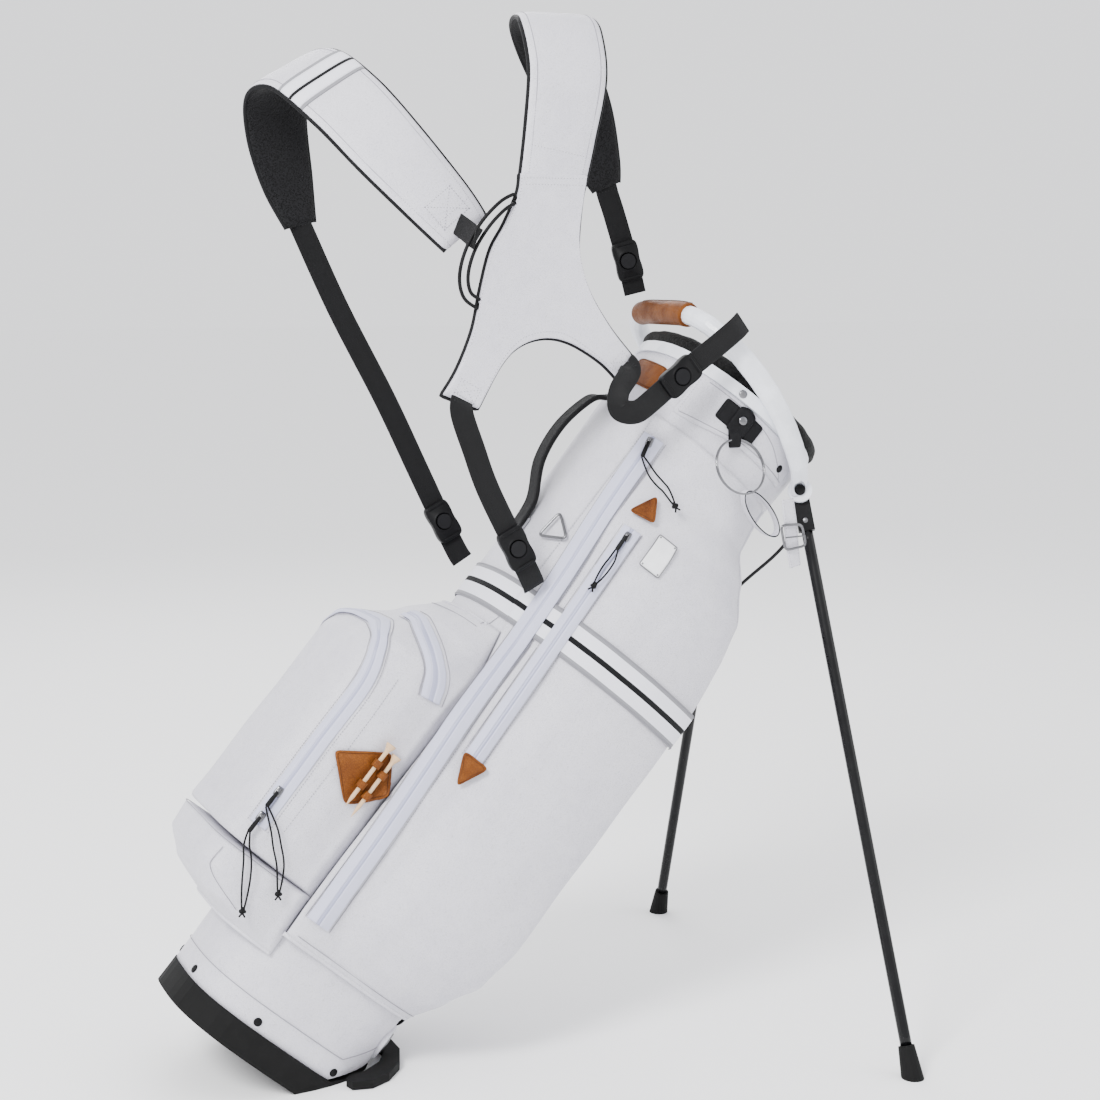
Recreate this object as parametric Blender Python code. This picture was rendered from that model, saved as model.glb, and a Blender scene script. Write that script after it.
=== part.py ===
"""Golf stand bag on its two deployed legs, with a double-strap shoulder harness.

Metres, +Z up. The origin is the middle of the flat facet under the base that rests on the ground.
The bag leans, so its pieces are modelled in the bag's own frame: +z up the bag's axis, -x the spine
side that faces up and carries the handle and the ball pocket, +x the side with the legs, -y the near
side. The legs and the harness are modelled in the world.
A point of the bag's skin is given by its angle about the axis (0 spine, 90 near side, 180 leg side,
-90 far side) and its height z along the axis.
"""
import bpy
import bmesh
from math import acos, atan2, cos, degrees, hypot, pi, radians, sin
from mathutils import Matrix, Vector

# ---- driving dimensions: metres and degrees ----
LEAN = 49.3                     # the bag's axis above the ground
RIM_Z = 0.880                   # top of the moulded collar
SHELL_TOP = 0.866
SHELL_WALL = 0.005
CUP_TOP = 0.030                 # black base cup, on the spine side
CUP_RAMP = 0.008                # its thickness above the ground facet
FACET_START = 0.0365            # where the ground facet starts, from the axis
GAP = 0.0003                    # between pieces that touch
PIVOT = Vector((0.0945, -0.083, 0.844))   # near leg's pivot, bag frame
LEG_REACH = Vector((0.0201, -0.2228, -0.6021))  # pivot to foot tip, deployed, world
LEG_FOLDED = Vector((0.0405, 0.021, -0.639))     # the same, folded, bag frame
LEG_RADIUS = 0.00635
HUB_LENGTH = 0.045
FOOT_LENGTH = 0.034
BOLT_RADIUS = 0.003
WEB_WIDTH = 0.025
WEB_THICK = 0.0022
PAD_THICK = 0.014
CORD_RADIUS = 0.00125

# Half sizes and squareness of the tube, and where the pockets start and end, along the axis.
SPINE_HALF = ((0.0, 0.111), (0.10, 0.115), (0.50, 0.112), (0.87, 0.119))
LEG_HALF = ((0.0, 0.111), (0.60, 0.114), (0.78, 0.098), (0.87, 0.104))
SIDE_HALF = ((0.0, 0.094), (0.50, 0.097), (0.87, 0.107))
SQUARENESS = ((0.0, 3.0), (0.40, 2.6), (0.87, 2.3))
SEAM = ((0.0, 48.0), (0.44, 48.0), (0.56, 36.0), (0.80, 36.0))
POCKET_END = ((0.50, 145.0), (0.60, 136.0), (0.80, 131.0))   # cut back where the folded leg lies
APPAREL_LOW, APPAREL_HIGH = 0.125, 0.800
BALL_LOW, BALL_HIGH = 0.1722, 0.510
VALUABLES_LOW, VALUABLES_HIGH = 0.100, 0.1718
PANEL = 0.003
APPAREL_ACROSS = ((36.0, 0.0), (48.0, 0.002), (56.0, 0.012), (70.0, 0.030), (90.0, 0.046), (115.0, 0.060),
                  (132.0, 0.070), (140.0, 0.060), (145.0, 0.040))
APPAREL_ALONG = ((0.125, 0.10), (0.166, 0.55), (0.201, 0.89), (0.25, 1.0), (0.56, 1.0), (0.625, 0.88),
                 (0.674, 0.75), (0.712, 0.44), (0.746, 0.10), (0.80, 0.02))
BALL_ALONG = ((0.10, 0.22), (0.118, 0.70), (0.14, 0.95), (0.18, 1.0), (0.41, 1.0), (0.43, 0.93),
              (0.471, 0.42), (0.51, 0.05))
SHOULDER = ((0.10, 0.010), (0.16, 0.022), (0.40, 0.022), (0.51, 0.0))
BALL_FRONT, BALL_SIDE = 0.204, 0.106

FACET_HALF = (SPINE_HALF[0][1] - FACET_START) / sin(radians(LEAN)) / 2
AXIS_X = Vector((sin(radians(LEAN)), 0.0, -cos(radians(LEAN))))
AXIS_Z = Vector((cos(radians(LEAN)), 0.0, sin(radians(LEAN))))
BAG_ORIGIN = Vector((-FACET_HALF, 0.0, 0.0)) - FACET_START * AXIS_X

for old in list(bpy.data.objects):
    bpy.data.objects.remove(old, do_unlink=True)

bag = bpy.data.objects.new("bag_frame", None)
bag.location = BAG_ORIGIN
bag.rotation_euler = (0.0, radians(90 - LEAN), 0.0)
bpy.context.collection.objects.link(bag)


# ---- materials ----
def material(name, colour, roughness, metallic=0.0):
    """A plain Principled material."""
    made = bpy.data.materials.new(name)
    made.use_nodes = True
    shader = made.node_tree.nodes["Principled BSDF"]
    shader.inputs["Base Color"].default_value = (*colour, 1.0)
    shader.inputs["Roughness"].default_value = roughness
    shader.inputs["Metallic"].default_value = metallic
    return made


WHITE_LEATHER = ((0.78, 0.77, 0.82), 0.45)
WHITE_PLASTIC = ((0.76, 0.80, 0.85), 0.30)
BLACK_WEBBING = ((0.012, 0.012, 0.012), 0.85)
BLACK_PLASTIC = ((0.014, 0.014, 0.015), 0.40)
BLACK_RUBBER = ((0.015, 0.015, 0.015), 0.75)
BLACK_FOAM = ((0.02, 0.02, 0.02), 0.95)
BROWN_LEATHER = ((0.32, 0.09, 0.022), 0.40)
GREY_STRIPE = ((0.30, 0.30, 0.33), 0.60)
ZIP_WHITE = ((0.70, 0.69, 0.82), 0.55)
CHROME = ((0.80, 0.80, 0.82), 0.15, 1.0)
BRIGHT_STEEL = ((0.60, 0.61, 0.64), 0.30, 1.0)
BLACK_ENAMEL = ((0.010, 0.010, 0.011), 0.25, 0.3)
WOOD = ((0.55, 0.36, 0.17), 0.50)


# ---- the skin of the bag ----
def keyed(keys, at):
    """Value between (place, value) keys, eased a little at each key."""
    if at <= keys[0][0]:
        return keys[0][1]
    for (low, first), (high, second) in zip(keys, keys[1:]):
        if at <= high:
            t = (at - low) / (high - low)
            return first + (second - first) * (0.35 * t * t * (3 - 2 * t) + 0.65 * t)
    return keys[-1][1]


def ease(low, high, at):
    """0 below low, 1 above high, smooth between."""
    t = min(max((at - low) / (high - low), 0.0), 1.0)
    return t * t * (3 - 2 * t)


def tube_radius(angle, z):
    """Superellipse section of the leather tube."""
    c = cos(radians(angle))
    s = sin(radians(angle))
    half_x = keyed(SPINE_HALF if c > 0 else LEG_HALF, z)
    n = keyed(SQUARENESS, z)
    return ((abs(c) / half_x) ** n + (abs(s) / keyed(SIDE_HALF, z)) ** n) ** (-1 / n)


def apparel_depth(angle, z):
    """How far a side pocket stands out of the tube."""
    fullness = keyed(APPAREL_ACROSS, abs(angle)) * keyed(APPAREL_ALONG, z)
    return PANEL + fullness + keyed(SHOULDER, z) * (1 - ease(48, 74, abs(angle)))


def ball_depth(angle, z):
    """How far the boxy ball pocket stands out of the tube."""
    c = cos(radians(angle))
    s = sin(radians(abs(angle)))
    box = ((c / BALL_FRONT) ** 6 + (s / BALL_SIDE) ** 6) ** (-1 / 6)
    full = box - tube_radius(angle, z) - PANEL
    side = ease(37.0, 48.0, abs(angle))
    return PANEL + (full * (1 - side) + (0.004 + keyed(SHOULDER, z)) * side) * keyed(BALL_ALONG, z)


def skin_radius(angle, z):
    """Outermost surface of tube and pockets."""
    angle = (angle + 180) % 360 - 180
    radius = tube_radius(angle, z)
    if keyed(SEAM, z) <= abs(angle) <= keyed(POCKET_END, z) and APPAREL_LOW <= z <= APPAREL_HIGH:
        return radius + apparel_depth(angle, z)
    if abs(angle) < keyed(SEAM, z) and VALUABLES_LOW <= z <= BALL_HIGH:
        return radius + ball_depth(angle, z)
    return radius


def polar(angle, z, radius):
    """Bag-frame point at an angle about the axis."""
    return Vector((-radius * cos(radians(angle)), -radius * sin(radians(angle)), z))


def on_skin(angle, z, lift=0.0):
    """Bag-frame point above the skin."""
    return polar(angle, z, skin_radius(angle, z) + lift)


def skin_normal(angle, z):
    """Outward direction of the skin, from points 8 mm around, so that small steps don't tip it."""
    step = 0.008
    turn = degrees(step / skin_radius(angle, z))
    along = on_skin(angle, z + step) - on_skin(angle, z - step)
    around = on_skin(angle + turn, z) - on_skin(angle - turn, z)
    return around.cross(along).normalized() * (1 if around.cross(along).dot(polar(angle, 0, 1)) > 0 else -1)


def to_world(point):
    """Bag-frame point in the world."""
    return BAG_ORIGIN + AXIS_X * point.x + Vector((0.0, point.y, 0.0)) + AXIS_Z * point.z


# ---- shape helpers ----
def add(name, mesh, look, parent=None, smooth=40.0):
    """Link a mesh as a named object with its own material."""
    mesh.shade_smooth()
    mesh.set_sharp_from_angle(angle=radians(smooth))
    made = bpy.data.objects.new(name, mesh)
    made.data.materials.append(material(name, *look))
    bpy.context.collection.objects.link(made)
    if parent:
        made.parent = parent
    return made


def from_bmesh(name, shape, look, parent=None):
    """Object from a bmesh whose faces are made to point outwards."""
    bmesh.ops.recalc_face_normals(shape, faces=shape.faces)
    mesh = bpy.data.meshes.new(name)
    shape.to_mesh(mesh)
    shape.free()
    return add(name, mesh, look, parent)


def slab_into(shape, outer, inner, ring=False):
    """Add the closed solid between two grids of points; ring joins the last column to the first."""
    rows = len(outer)
    columns = len(outer[0])
    top = [[shape.verts.new(point) for point in row] for row in outer]
    low = [[shape.verts.new(point) for point in row] for row in inner]
    steps = columns if ring else columns - 1
    for i in range(rows - 1):
        for j in range(steps):
            k = (j + 1) % columns
            shape.faces.new((top[i][j], top[i][k], top[i + 1][k], top[i + 1][j]))
            shape.faces.new((low[i][j], low[i + 1][j], low[i + 1][k], low[i][k]))
    for j in range(steps):
        k = (j + 1) % columns
        shape.faces.new((top[0][j], low[0][j], low[0][k], top[0][k]))
        shape.faces.new((top[-1][j], top[-1][k], low[-1][k], low[-1][j]))
    if not ring:
        for i in range(rows - 1):
            shape.faces.new((top[i][0], top[i + 1][0], low[i + 1][0], low[i][0]))
            shape.faces.new((top[i][-1], low[i][-1], low[i + 1][-1], top[i + 1][-1]))


def slab(name, outer, inner, look, parent=None, ring=False):
    """One closed solid between two grids of points."""
    shape = bmesh.new()
    slab_into(shape, outer, inner, ring)
    return from_bmesh(name, shape, look, parent)


def cylinder_into(shape, radius, start, end, sides=20, end_radius=None):
    """Add a capped cylinder or cone between two points."""
    start = Vector(start)
    end = Vector(end)
    turn = Vector((0, 0, 1)).rotation_difference(end - start).to_matrix().to_4x4()
    place = Matrix.Translation((start + end) / 2) @ turn
    bmesh.ops.create_cone(shape, cap_ends=True, segments=sides, radius1=radius,
                          radius2=radius if end_radius is None else end_radius,
                          depth=(end - start).length, matrix=place)


def block_into(shape, size, place):
    """Add a box of a size, placed by a matrix."""
    bmesh.ops.create_cube(shape, size=1.0, matrix=place @ Matrix.Diagonal((*size, 1.0)))


def bevelled(made, width, segments=2):
    """Round an object's edges."""
    edge = made.modifiers.new("edges", "BEVEL")
    edge.width = width
    edge.segments = segments
    edge.limit_method = "ANGLE"
    edge.angle_limit = radians(35)
    return made


def combine(made, operation, name, shape, parent=None):
    """Join a bmesh to an object, or cut it out of it, with a hidden helper object."""
    helper = from_bmesh(name + "_helper", shape, BLACK_PLASTIC, parent)
    helper.hide_render = True
    helper.display_type = "WIRE"
    change = made.modifiers.new(name, "BOOLEAN")
    change.operation = operation
    change.object = helper
    return made


def joined(name, shapes, look, parent=None):
    """One solid from overlapping bmeshes."""
    made = from_bmesh(name, shapes[0], look, parent)
    for count, shape in enumerate(shapes[1:]):
        combine(made, "UNION", f"{name}_piece_{count}", shape, parent)
    return made


def turned(name, profile, look, parent=None, steps=14):
    """Solid of revolution about y from a profile of (radius, y) points that starts and ends on the axis."""
    shape = bmesh.new()
    verts = [shape.verts.new((r, y, 0)) for r, y in profile]
    edges = [shape.edges.new(pair) for pair in zip(verts, verts[1:])]
    bmesh.ops.spin(shape, geom=verts + edges, cent=(0, 0, 0), axis=(0, 1, 0), angle=2 * pi, steps=steps,
                   use_merge=True)
    bmesh.ops.remove_doubles(shape, verts=shape.verts, dist=1e-5)
    return from_bmesh(name, shape, look, parent)


def smooth_path(points, steps):
    """Catmull-Rom curve through lists of numbers, steps points to each stretch."""
    ends = [points[0]] + list(points) + [points[-1]]
    path = []
    for a, b, c, d in zip(ends, ends[1:], ends[2:], ends[3:]):
        for k in range(steps):
            t = k / steps
            path.append([0.5 * (2 * q + (r - p) * t + (2 * p - 5 * q + 4 * r - s) * t * t
                                + (3 * q - p - 3 * r + s) * t ** 3) for p, q, r, s in zip(a, b, c, d)])
    path.append(list(points[-1]))
    return path


def wire(name, points, radius, look, parent=None, closed=False, resolution=2):
    """Round wire, tube or cord along points."""
    curve = bpy.data.curves.new(name, "CURVE")
    curve.dimensions = "3D"
    curve.bevel_depth = radius
    curve.bevel_resolution = resolution
    curve.use_fill_caps = not closed
    spline = curve.splines.new("POLY")
    spline.points.add(len(points) - 1)
    for slot, point in zip(spline.points, points):
        slot.co = (*point[:3], 1.0)
    spline.use_cyclic_u = closed
    made = bpy.data.objects.new(name, curve)
    made.data.materials.append(material(name, *look))
    bpy.context.collection.objects.link(made)
    if parent:
        made.parent = parent
    return made


def band_into(shape, route, thickness, steps=4, columns=3):
    """Add a flat strap. A route point is x, y, z, the face's direction (3 numbers) and the width."""
    path = smooth_path(route, steps)
    outer = []
    inner = []
    for i, point in enumerate(path):
        here = Vector(point[:3])
        before = Vector(path[max(i - 1, 0)][:3])
        after = Vector(path[min(i + 1, len(path) - 1)][:3])
        ahead = (after - before).normalized()
        side = ahead.cross(Vector(point[3:6])).normalized()
        face = side.cross(ahead)
        spots = [here + side * point[6] * (j / (columns - 1) - 0.5) for j in range(columns)]
        outer.append([spot + face * thickness / 2 for spot in spots])
        inner.append([spot - face * thickness / 2 for spot in spots])
    slab_into(shape, outer, inner)


def strip_into(shape, path, width, lift, thickness, columns=4):
    """Add a strip lying on the skin along a path of (angle, z) points."""
    outer = []
    inner = []
    for i, (angle, z) in enumerate(path):
        radius = skin_radius(angle, z)
        a0, z0 = path[max(i - 1, 0)]
        a1, z1 = path[min(i + 1, len(path) - 1)]
        along = (radians(a1 - a0) * radius, z1 - z0)
        length = hypot(*along)
        across = (-along[1] / length, along[0] / length)
        spots = []
        for j in range(columns):
            offset = width * (j / (columns - 1) - 0.5)
            spots.append((angle + degrees(offset * across[0] / radius), z + offset * across[1]))
        outer.append([on_skin(a, h, lift + thickness) for a, h in spots])
        inner.append([on_skin(a, h, lift) for a, h in spots])
    slab_into(shape, outer, inner)


def patch_into(shape, angle, z, outline, lift, thickness, rings=3):
    """Add a flat piece, cut to a star-shaped outline in metres (around, along), lying on the skin."""
    points = []
    for (u0, v0), (u1, v1) in zip(outline, outline[1:] + outline[:1]):
        pieces = max(1, round(hypot(u1 - u0, v1 - v0) / 0.012))
        points += [(u0 + (u1 - u0) * k / pieces, v0 + (v1 - v0) * k / pieces) for k in range(pieces)]
    radius = skin_radius(angle, z)
    layers = []
    for height in (lift, lift + thickness):
        grid = [[shape.verts.new(on_skin(angle + degrees(u * k / rings / radius), z + v * k / rings, height))
                 for u, v in points] for k in range(1, rings + 1)]
        middle = shape.verts.new(on_skin(angle, z, height))
        for j in range(len(points)):
            k = (j + 1) % len(points)
            shape.faces.new((middle, grid[0][j], grid[0][k]))
            for ring, wider in zip(grid, grid[1:]):
                shape.faces.new((ring[j], wider[j], wider[k], ring[k]))
        layers.append(grid[-1])
    for j in range(len(points)):
        k = (j + 1) % len(points)
        shape.faces.new((layers[0][j], layers[0][k], layers[1][k], layers[1][j]))


def patch(name, angle, z, outline, thickness, look, lift=0.0012):
    """A flat piece lying on the skin."""
    shape = bmesh.new()
    patch_into(shape, angle, z, outline, lift, thickness)
    return from_bmesh(name, shape, look, bag)


def polygon(sides, radius, start=0.0):
    """Regular outline."""
    return [(radius * cos(radians(start) + 2 * pi * k / sides),
             radius * sin(radians(start) + 2 * pi * k / sides))
            for k in range(sides)]


def rectangle(width, height):
    """Rectangular outline."""
    return [(-width / 2, -height / 2), (width / 2, -height / 2), (width / 2, height / 2),
            (-width / 2, height / 2)]


def spread(low, high, count):
    """Evenly spaced numbers."""
    return [low + (high - low) * k / (count - 1) for k in range(count)]


def ground_z(x):
    """Height of the ground in the bag frame."""
    return (x - FACET_START) / sin(radians(LEAN)) * cos(radians(LEAN))


# ---- base, tube and insides ----
def wedge(name, outline_offset, low, high, look):
    """Plate across the tube whose bottom and top are flat on the spine side and follow the ground."""
    def layer(plate, ramp):
        shape = bmesh.new()
        sides = 48
        rim = [polar(360 * k / sides, 0, tube_radius(360 * k / sides, 0.02) + outline_offset)
               for k in range(sides)]
        face = shape.faces.new([shape.verts.new(point + Vector((0, 0, -0.1))) for point in rim])
        bottom = bmesh.ops.extrude_face_region(shape, geom=[face])["geom"]
        lifted = [item for item in bottom if isinstance(item, bmesh.types.BMVert)]
        bmesh.ops.translate(shape, verts=lifted, vec=(0, 0, 0.3))
        bmesh.ops.recalc_face_normals(shape, faces=shape.faces)
        slope = Vector((-cos(radians(LEAN)), 0, sin(radians(LEAN))))
        for point, direction in ((Vector((0, 0, plate)), Vector((0, 0, 1))),
                                 (Vector((FACET_START, 0, 0)) + slope * ramp, slope)):
            everything = shape.verts[:] + shape.edges[:] + shape.faces[:]
            cut = bmesh.ops.bisect_plane(shape, geom=everything, dist=1e-7, plane_co=point,
                                         plane_no=direction, clear_inner=True)["geom_cut"]
            loop = [item for item in cut if isinstance(item, bmesh.types.BMEdge)]
            bmesh.ops.edgeloop_fill(shape, edges=loop)
        return shape
    made = from_bmesh(name, layer(*low), look, bag)
    cutter = layer(*high)
    bmesh.ops.scale(cutter, vec=(1.2, 1.2, 1.0), verts=cutter.verts,
                    space=Matrix.Translation((-FACET_START, 0, 0)))
    return combine(made, "DIFFERENCE", name + "_top", cutter, bag)


def cup_edge(angle):
    """Height of the top edge of the base cup."""
    x = -tube_radius(angle, 0.02) * cos(radians(angle))
    return max(CUP_TOP, ground_z(x) + CUP_RAMP / sin(radians(LEAN))) + GAP


def make_base():
    """Base cup."""
    wedge("base_cup", 0.0015, (0.0, 0.0), (CUP_TOP, CUP_RAMP), BLACK_RUBBER)


def make_tube():
    """Leather tube, open at both ends."""
    angles = [360 * k / 40 for k in range(40)]
    heights = spread(0.0, 1.0, 13)
    grids = []
    for wall in (0.0, SHELL_WALL):
        grids.append([[polar(a, z, tube_radius(a, z) - wall)
                       for a in angles for z in (cup_edge(a) + (SHELL_TOP - cup_edge(a)) * t,)]
                      for t in heights])
    slab("body_shell", *grids, WHITE_LEATHER, bag, ring=True)


STAY_ANGLES = (32.0, 148.0, 212.0, 328.0)
STAY_RADIUS = 0.0035


def make_insides():
    """Four stays on a hoop, full-length divider cloths and the padded top divider."""
    def stay_point(angle, z):
        return polar(angle, z, tube_radius(angle, z) - SHELL_WALL - STAY_RADIUS - 0.0040)
    def hoop(wall):
        return [[polar(360 * k / 32, z, tube_radius(360 * k / 32, z) - SHELL_WALL - wall) for k in range(32)]
                for z in (0.853, 0.859)]
    frame = slab("stay_frame", hoop(0.0035), hoop(0.0125), BRIGHT_STEEL, bag, ring=True)
    for count, angle in enumerate(STAY_ANGLES):
        shape = bmesh.new()
        route = [stay_point(angle, z) for z in spread(0.085, 0.856, 7)]
        oval_into(shape, route, lambda point: (STAY_RADIUS, STAY_RADIUS), 8)
        combine(frame, "UNION", f"stay_{count}", shape, bag)
    cloth = 0.0008
    x0 = -0.097
    x1 = 0.080
    y1 = 0.082
    cross = [(x0, -cloth), (-cloth, -cloth), (-cloth, -y1), (cloth, -y1), (cloth, -cloth), (x1, -cloth),
             (x1, cloth), (cloth, cloth), (cloth, y1), (-cloth, y1), (-cloth, cloth), (x0, cloth)]
    extrude("divider_panels", cross, 0.068, 0.862, BLACK_WEBBING)
    bar = 0.006
    x0 = -(tube_radius(0, 0.87) - 0.0104)
    x1 = tube_radius(180, 0.87) - 0.0104
    y1 = tube_radius(90, 0.87) - 0.0104
    cross = [(x0, -bar), (-bar, -bar), (-bar, -y1), (bar, -y1), (bar, -bar), (x1, -bar),
             (x1, bar), (bar, bar), (bar, y1), (-bar, y1), (-bar, bar), (x0, bar)]
    bevelled(extrude("divider_top", cross, SHELL_TOP + GAP, RIM_Z + 0.004, BLACK_FOAM), 0.002)


def extrude(name, outline, low, high, look, parent=None):
    """Prism over an outline in x and y."""
    shape = bmesh.new()
    face = shape.faces.new([shape.verts.new((x, y, low)) for x, y in outline])
    raised = bmesh.ops.extrude_face_region(shape, geom=[face])["geom"]
    bmesh.ops.translate(shape, verts=[v for v in raised if isinstance(v, bmesh.types.BMVert)],
                        vec=(0, 0, high - low))
    return from_bmesh(name, shape, look, bag if parent is None else parent)


# ---- pockets ----
def pocket_grids(low, high, rows, columns, start, end, depth):
    """Outer and inner grids of a pocket; start and end give its angles at a height."""
    outer = []
    inner = []
    for z in spread(low, high, rows):
        angles = spread(start(z), end(z), columns)
        outer.append([polar(a, z, tube_radius(a, z) + depth(a, z)) for a in angles])
        inner.append([polar(a, z, tube_radius(a, z) + 0.0014) for a in angles])
    return outer, inner


def make_pockets():
    """Two side pockets, the ball pocket on the spine and the small pocket under it."""
    for name, sign in (("apparel_pocket_near", 1), ("apparel_pocket_far", -1)):
        grids = pocket_grids(APPAREL_LOW, APPAREL_HIGH, 17, 14, lambda z: sign * (keyed(SEAM, z) + 0.6),
                             lambda z: sign * keyed(POCKET_END, z), apparel_depth)
        slab(name, *grids, WHITE_LEATHER, bag)
    for name, low, high, rows in (("ball_pocket", BALL_LOW, BALL_HIGH, 12),
                                  ("valuables_pocket", VALUABLES_LOW, VALUABLES_HIGH, 5)):
        grids = pocket_grids(low, high, rows, 19, lambda z: -keyed(SEAM, z) + 0.4,
                             lambda z: keyed(SEAM, z) - 0.4, ball_depth)
        slab(name, *grids, WHITE_LEATHER, bag)


# ---- top frame, handle and rim ----
HANDLE_PATH = ((0.0885, -0.0900, 0.8440), (0.062, -0.1080, 0.858), (0.020, -0.1185, 0.875),
               (-0.025, -0.1205, 0.890),
               (-0.070, -0.114, 0.900), (-0.105, -0.100, 0.906), (-0.125, -0.076, 0.909),
               (-0.132, -0.048, 0.910),
               (-0.133, 0.0, 0.910))
HANDLE_BAR = 0.0105


def handle_points(steps=3):
    """Smooth path of the handle arch from the near ear to the far ear."""
    mirrored = [(x, -y, z) for x, y, z in HANDLE_PATH[-2::-1]]
    return smooth_path(list(HANDLE_PATH) + mirrored, steps)


def oval_into(shape, path, sizes, sides=14):
    """Add a bar of oval section: sizes gives (thickness, height) radii at a point."""
    rows = []
    for i, point in enumerate(path):
        here = Vector(point)
        ahead = (Vector(path[min(i + 1, len(path) - 1)]) - Vector(path[max(i - 1, 0)])).normalized()
        outward = ahead.cross(Vector((0, 0, 1)) if abs(ahead.z) < 0.9 else Vector((0, 1, 0))).normalized()
        upward = outward.cross(ahead).normalized()
        thick, high = sizes(here)
        rows.append([shape.verts.new(here + outward * thick * cos(2 * pi * k / sides)
                                     + upward * high * sin(2 * pi * k / sides)) for k in range(sides)])
    for first, second in zip(rows, rows[1:]):
        for j in range(sides):
            k = (j + 1) % sides
            shape.faces.new((first[j], first[k], second[k], second[j]))
    shape.faces.new(rows[0][::-1])
    shape.faces.new(rows[-1])
    bmesh.ops.recalc_face_normals(shape, faces=shape.faces)


def pivot_basis(side):
    """Pivot point and the leg's deployed, across and outward axis directions in the world."""
    point = to_world(Vector((PIVOT.x, PIVOT.y, PIVOT.z)))
    deployed = LEG_REACH.normalized()
    folded = (AXIS_X * LEG_FOLDED.x + Vector((0, LEG_FOLDED.y, 0)) + AXIS_Z * LEG_FOLDED.z).normalized()
    outward = folded.cross(deployed).normalized()
    if side > 0:
        point.y = -point.y
        deployed.y = -deployed.y
        outward.y = -outward.y
    return point, deployed, outward


def pivot_place(side):
    """Matrix of the pivot: x along the deployed leg, z outwards along the hinge."""
    point, deployed, outward = pivot_basis(side)
    across = outward.cross(deployed)
    turn = Matrix((deployed, across, outward)).transposed().to_4x4()
    return Matrix.Translation(point) @ turn


def make_top():
    """Moulded collar with the handle arch and the two pivot ears, the grip and the padded rim."""
    angles = [360 * k / 40 for k in range(40)]
    heights = (SHELL_TOP + GAP, RIM_Z)

    def flange(angle):
        return 0.002 + 0.0085 * abs(sin(radians(angle))) ** 6
    outer = [[polar(a, z, tube_radius(a, 0.87) + flange(a)) for a in angles] for z in heights]
    inner = [[polar(a, z, tube_radius(a, 0.87) - 0.010) for a in angles] for z in heights]
    frame = slab("top_frame", outer, inner, WHITE_PLASTIC, bag, ring=True)
    arch = bmesh.new()
    oval_into(arch, handle_points(2), lambda p: (0.0062, 0.0125) if p.x > -0.06 else
              (0.0062 + (HANDLE_BAR - 0.0062) * ease(0.06, 0.11, -p.x),
               0.0125 + (HANDLE_BAR - 0.0125) * ease(0.06, 0.11, -p.x)))
    combine(frame, "UNION", "handle_arch", arch, bag)
    for name, side in (("near_ear", -1), ("far_ear", 1)):
        ear = bmesh.new()
        place = pivot_place(side)
        cylinder_into(ear, 0.0135, place @ Vector((0, 0, 0.0066)), place @ Vector((0, 0, 0.0126)), 28)
        combine(frame, "UNION", name, ear)
        bore = bmesh.new()
        cylinder_into(bore, BOLT_RADIUS + GAP, place @ Vector((0, 0, -0.02)), place @ Vector((0, 0, 0.03)),
                      16)
        combine(frame, "DIFFERENCE", name + "_bore", bore)
        for part, radius, low, high in (("_head_room", 0.0072, 0.0127, 0.0300),
                                        ("_hub_room", 0.0110, -0.0200, 0.0065)):
            room = bmesh.new()
            cylinder_into(room, radius, place @ Vector((0, 0, low)), place @ Vector((0, 0, high)), 24)
            combine(frame, "DIFFERENCE", name + part, room)
    path = [point for point in handle_points(3) if abs(point[1]) < 0.066 and point[0] < -0.1]
    shape = bmesh.new()
    grids = []
    for radius in (HANDLE_BAR + 0.003, HANDLE_BAR + 0.0008):
        grid = []
        for i, point in enumerate(path):
            ahead = (Vector(path[min(i + 1, len(path) - 1)]) - Vector(path[max(i - 1, 0)])).normalized()
            outward = ahead.cross(Vector((0, 0, 1))).normalized()
            upward = outward.cross(ahead)
            grid.append([Vector(point) + (outward * cos(2 * pi * k / 12) + upward * sin(2 * pi * k / 12))
                         * radius
                         for k in range(12)])
        grids.append(grid)
    slab_into(shape, *grids, ring=True)
    from_bmesh("handle_grip", shape, BROWN_LEATHER, bag)
    rim = [polar(a, RIM_Z + 0.0085, tube_radius(a, 0.87) - 0.004) for a in (360 * k / 40 for k in range(40))]
    wire("rim_pad", rim, 0.008, BLACK_FOAM, bag, closed=True, resolution=2)


# ---- trim lying on the skin ----
APPAREL_ZIP = ((44.7, 0.776), (46.4, 0.689), (50.1, 0.591), (52.8, 0.480), (55.9, 0.371), (58.2, 0.262),
               (59.1, 0.155))
SLIM_ZIP = ((64.4, 0.679), (65.7, 0.599), (67.8, 0.488), (69.5, 0.383))
BALL_ZIP = ((-27.5, 0.20), (-27.5, 0.30), (-27.0, 0.385), (-22.0, 0.425), (-11.0, 0.440), (0.0, 0.442),
            (11.0, 0.440), (22.0, 0.425), (27.0, 0.385), (27.5, 0.30), (28.0, 0.199))
SIDE_ZIP = ((1.5, 0.470), (15.0, 0.468), (28.3, 0.455), (37.9, 0.434), (42.0, 0.405))
BAND_Z, BAND_WIDTH = 0.545, 0.046


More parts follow.
